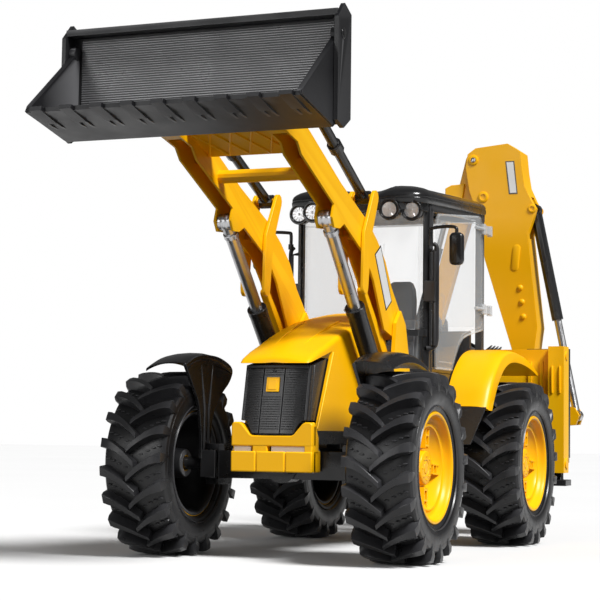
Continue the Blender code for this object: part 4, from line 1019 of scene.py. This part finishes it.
def fender_piece(side):
    """Rear mudguard, its outer shoulder rounded over, thin toward its tail."""
    s = SIDES[side]
    node = "rear_fender_" + side
    outer = smooth_path([(57, 96), (66, 111), (78, 123), (96, 133.2), (120, 137), (150, 134.2),
                         (172, 128.7), (188, 122.5)], 44)
    inner = smooth_path([(186, 120.7), (170, 124.2), (147, 127.4), (120, 128), (101, 123.6),
                         (86, 113.8), (75, 101.8), (69, 93)], 36)
    hub = Vector((AXLES["rear"], TYRE_R))
    loops = []
    for x, drop in ((49.2, 0.0), (60.0, 0.0), (68.0, 0.15), (72.5, 0.6), (75.6, 1.4), (77.6, 2.5),
                    (78.7, 3.8), (79.0, 5.0)):
        shifted = []
        for k, p in enumerate(outer):
            share = 1.0 - 0.85 * k / (len(outer) - 1)
            shifted.append(p - (p - hub).normalized() * drop * share)
        loops.append([(s * x, *p) for p in shifted + inner])
    bm = bmesh.new()
    loft(bm, loops)
    finish_piece(node + "_look", bm, YELLOW, BODY_OF[node], node, bevel=0.5, segments=3, sharp=40)


def frame_details():
    """Ribs and pin caps of the rear frame, and the plates between cab and rear mudguards."""
    bm = bmesh.new()
    for s in (-1, 1):
        for x in (88.6, 94.4):
            tube(bm, [(s * x, 191.4, 108), (s * x, 191.0, 111), (s * x, 191.0, 125),
                      (s * x, 191.4, 128)], 0.9, 10)
        bar(bm, (s * 97.4, 199, 56), (s * 98.4, 199, 56), 4.0, 24)
        bar(bm, (s * 97.4, 199, 136), (s * 98.2, 199, 136), 3.4, 24)
    finish_piece("rear_frame_ribs", bm, YELLOW, "chassis", bevel=0.15)
    bm = bmesh.new()
    for s in (-1, 1):
        loft(bm, [[(s * 52, y, 95.4), (s * 78.4, y, 95.4), (s * 70.0, y - 8.0, 70.0),
                   (s * 52, y - 8.0, 70.0)] for y in (56.2, 58.0)])
    finish_piece("step_plates", bm, BLACK, "chassis", bevel=0.3)


# ---------------------------------------------------------------- assembly

def build():
    """Every detailed piece first, then the CAD nodes that none of them replaces."""
    for end in AXLES:
        for side in SIDES:
            tyre(end, side)
            rim(end, side)
    bonnet()
    nose()
    bumper_piece()
    roof_piece()
    window_details()
    bucket_details()
    arm_details()
    ram_details()
    digger_details()
    frame_details()
    cab_trim()
    for side in SIDES:
        knuckle_piece(side)
        fender_piece(side)
        door_piece(side)
        mirror_piece(side)
    wide_edges = {"loader_arms": 0.7, "boom": 0.9, "dipper": 0.7, "kingpost": 0.6,
                  "rear_frame": 0.7, "loader_towers": 0.5, "cab_tub": 0.6, "cab_frame": 0.5,
                  "bucket_back_blade": 0.45, "bucket_clam": 0.45}
    satin = ("bucket_back_blade", "bucket_clam", "seat", "digger_bucket")
    done = {name for obj in bpy.data.objects for name in obj.get("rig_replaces", [])}
    for node in sorted(frame["nodes"]):
        if node not in done:
            rounded(node, wide_edges.get(node, 0.4), SATIN if node in satin else None,
                    3 if node in wide_edges else 2)


def studio():
    """Pale floor, white surroundings, a soft sun as the key and two boxes in front."""
    bpy.ops.mesh.primitive_plane_add(size=12.0)
    floor = bpy.context.object
    floor.name = "studio_floor"
    made, tree, shader = new_material("studio_floor_look")
    tree.links.new(ramp(tree, noise(tree, 3.0), (0.74, 0.74, 0.74), (0.76, 0.76, 0.76)),
                   shader.inputs["Base Color"])
    shader.inputs["Roughness"].default_value = 0.7
    floor.data.materials.append(made)
    floor.visible_diffuse = False  # undersides stay dark: the floor throws no light back up
    world = bpy.data.worlds.new("studio_world")
    bpy.context.scene.world = world
    world.use_nodes = True
    tree = world.node_tree
    seen = tree.nodes["Background"]
    dim = tree.nodes.new("ShaderNodeBackground")
    for sky, strength in ((seen, 1.0), (dim, 0.15)):
        sky.inputs["Color"].default_value = (1.0, 1.0, 1.0, 1.0)
        sky.inputs["Strength"].default_value = strength
    path = tree.nodes.new("ShaderNodeLightPath")
    both = tree.nodes.new("ShaderNodeMixShader")
    tree.links.new(path.outputs["Is Camera Ray"], both.inputs[0])
    tree.links.new(dim.outputs[0], both.inputs[1])
    tree.links.new(seen.outputs[0], both.inputs[2])
    tree.links.new(both.outputs[0], tree.nodes["World Output"].inputs["Surface"])
    bpy.context.scene.view_settings.view_transform = "Standard"
    target = Vector((0, 0, 0.15))
    for name, kind, spot, power, size in (
            ("key", "SUN", (1.1, -0.55, 1.6), 5.2, radians(18)),
            ("left_box", "AREA", (-0.9, -2.1, 0.75), 11.0, 0.9),
            ("front_box", "AREA", (1.3, -1.9, 0.9), 5.0, 0.7)):
        light = bpy.data.lights.new(name, kind)
        light.energy = power
        if kind == "SUN":
            light.angle = size
        else:
            light.size = size
        obj = bpy.data.objects.new(name, light)
        obj.location = spot
        obj.rotation_mode = "QUATERNION"
        obj.rotation_quaternion = (target - Vector(spot)).to_track_quat("-Z", "Y")
        bpy.context.scene.collection.objects.link(obj)


CAMERA_SPOT = (432.96, -1119.79, 78.07)
CAMERA_TURN, CAMERA_LIFT, CAMERA_ROLL = 22.698, 4.142, 0.689   # degrees


def camera():
    """The camera at the reference view, for a square frame."""
    data = bpy.data.cameras.new("camera")
    obj = bpy.data.objects.new("camera", data)
    bpy.context.scene.collection.objects.link(obj)
    turn, lift, roll = radians(CAMERA_TURN), radians(CAMERA_LIFT), radians(CAMERA_ROLL)
    ahead = Vector((-sin(turn) * cos(lift), cos(turn) * cos(lift), sin(lift)))
    right = Vector((cos(turn), sin(turn), 0.0))
    up = right.cross(ahead)
    tilted = right * cos(roll) + up * sin(roll)
    above = up * cos(roll) - right * sin(roll)
    axes = Matrix((tilted, above, -ahead)).transposed().to_4x4()
    obj.matrix_world = Matrix.Translation(place(*CAMERA_SPOT)) @ axes
    data.sensor_width = 36.0
    data.lens = 108.17
    data.clip_start = 0.05
    data.clip_end = 50.0
    bpy.context.scene.camera = obj


build()
studio()
camera()
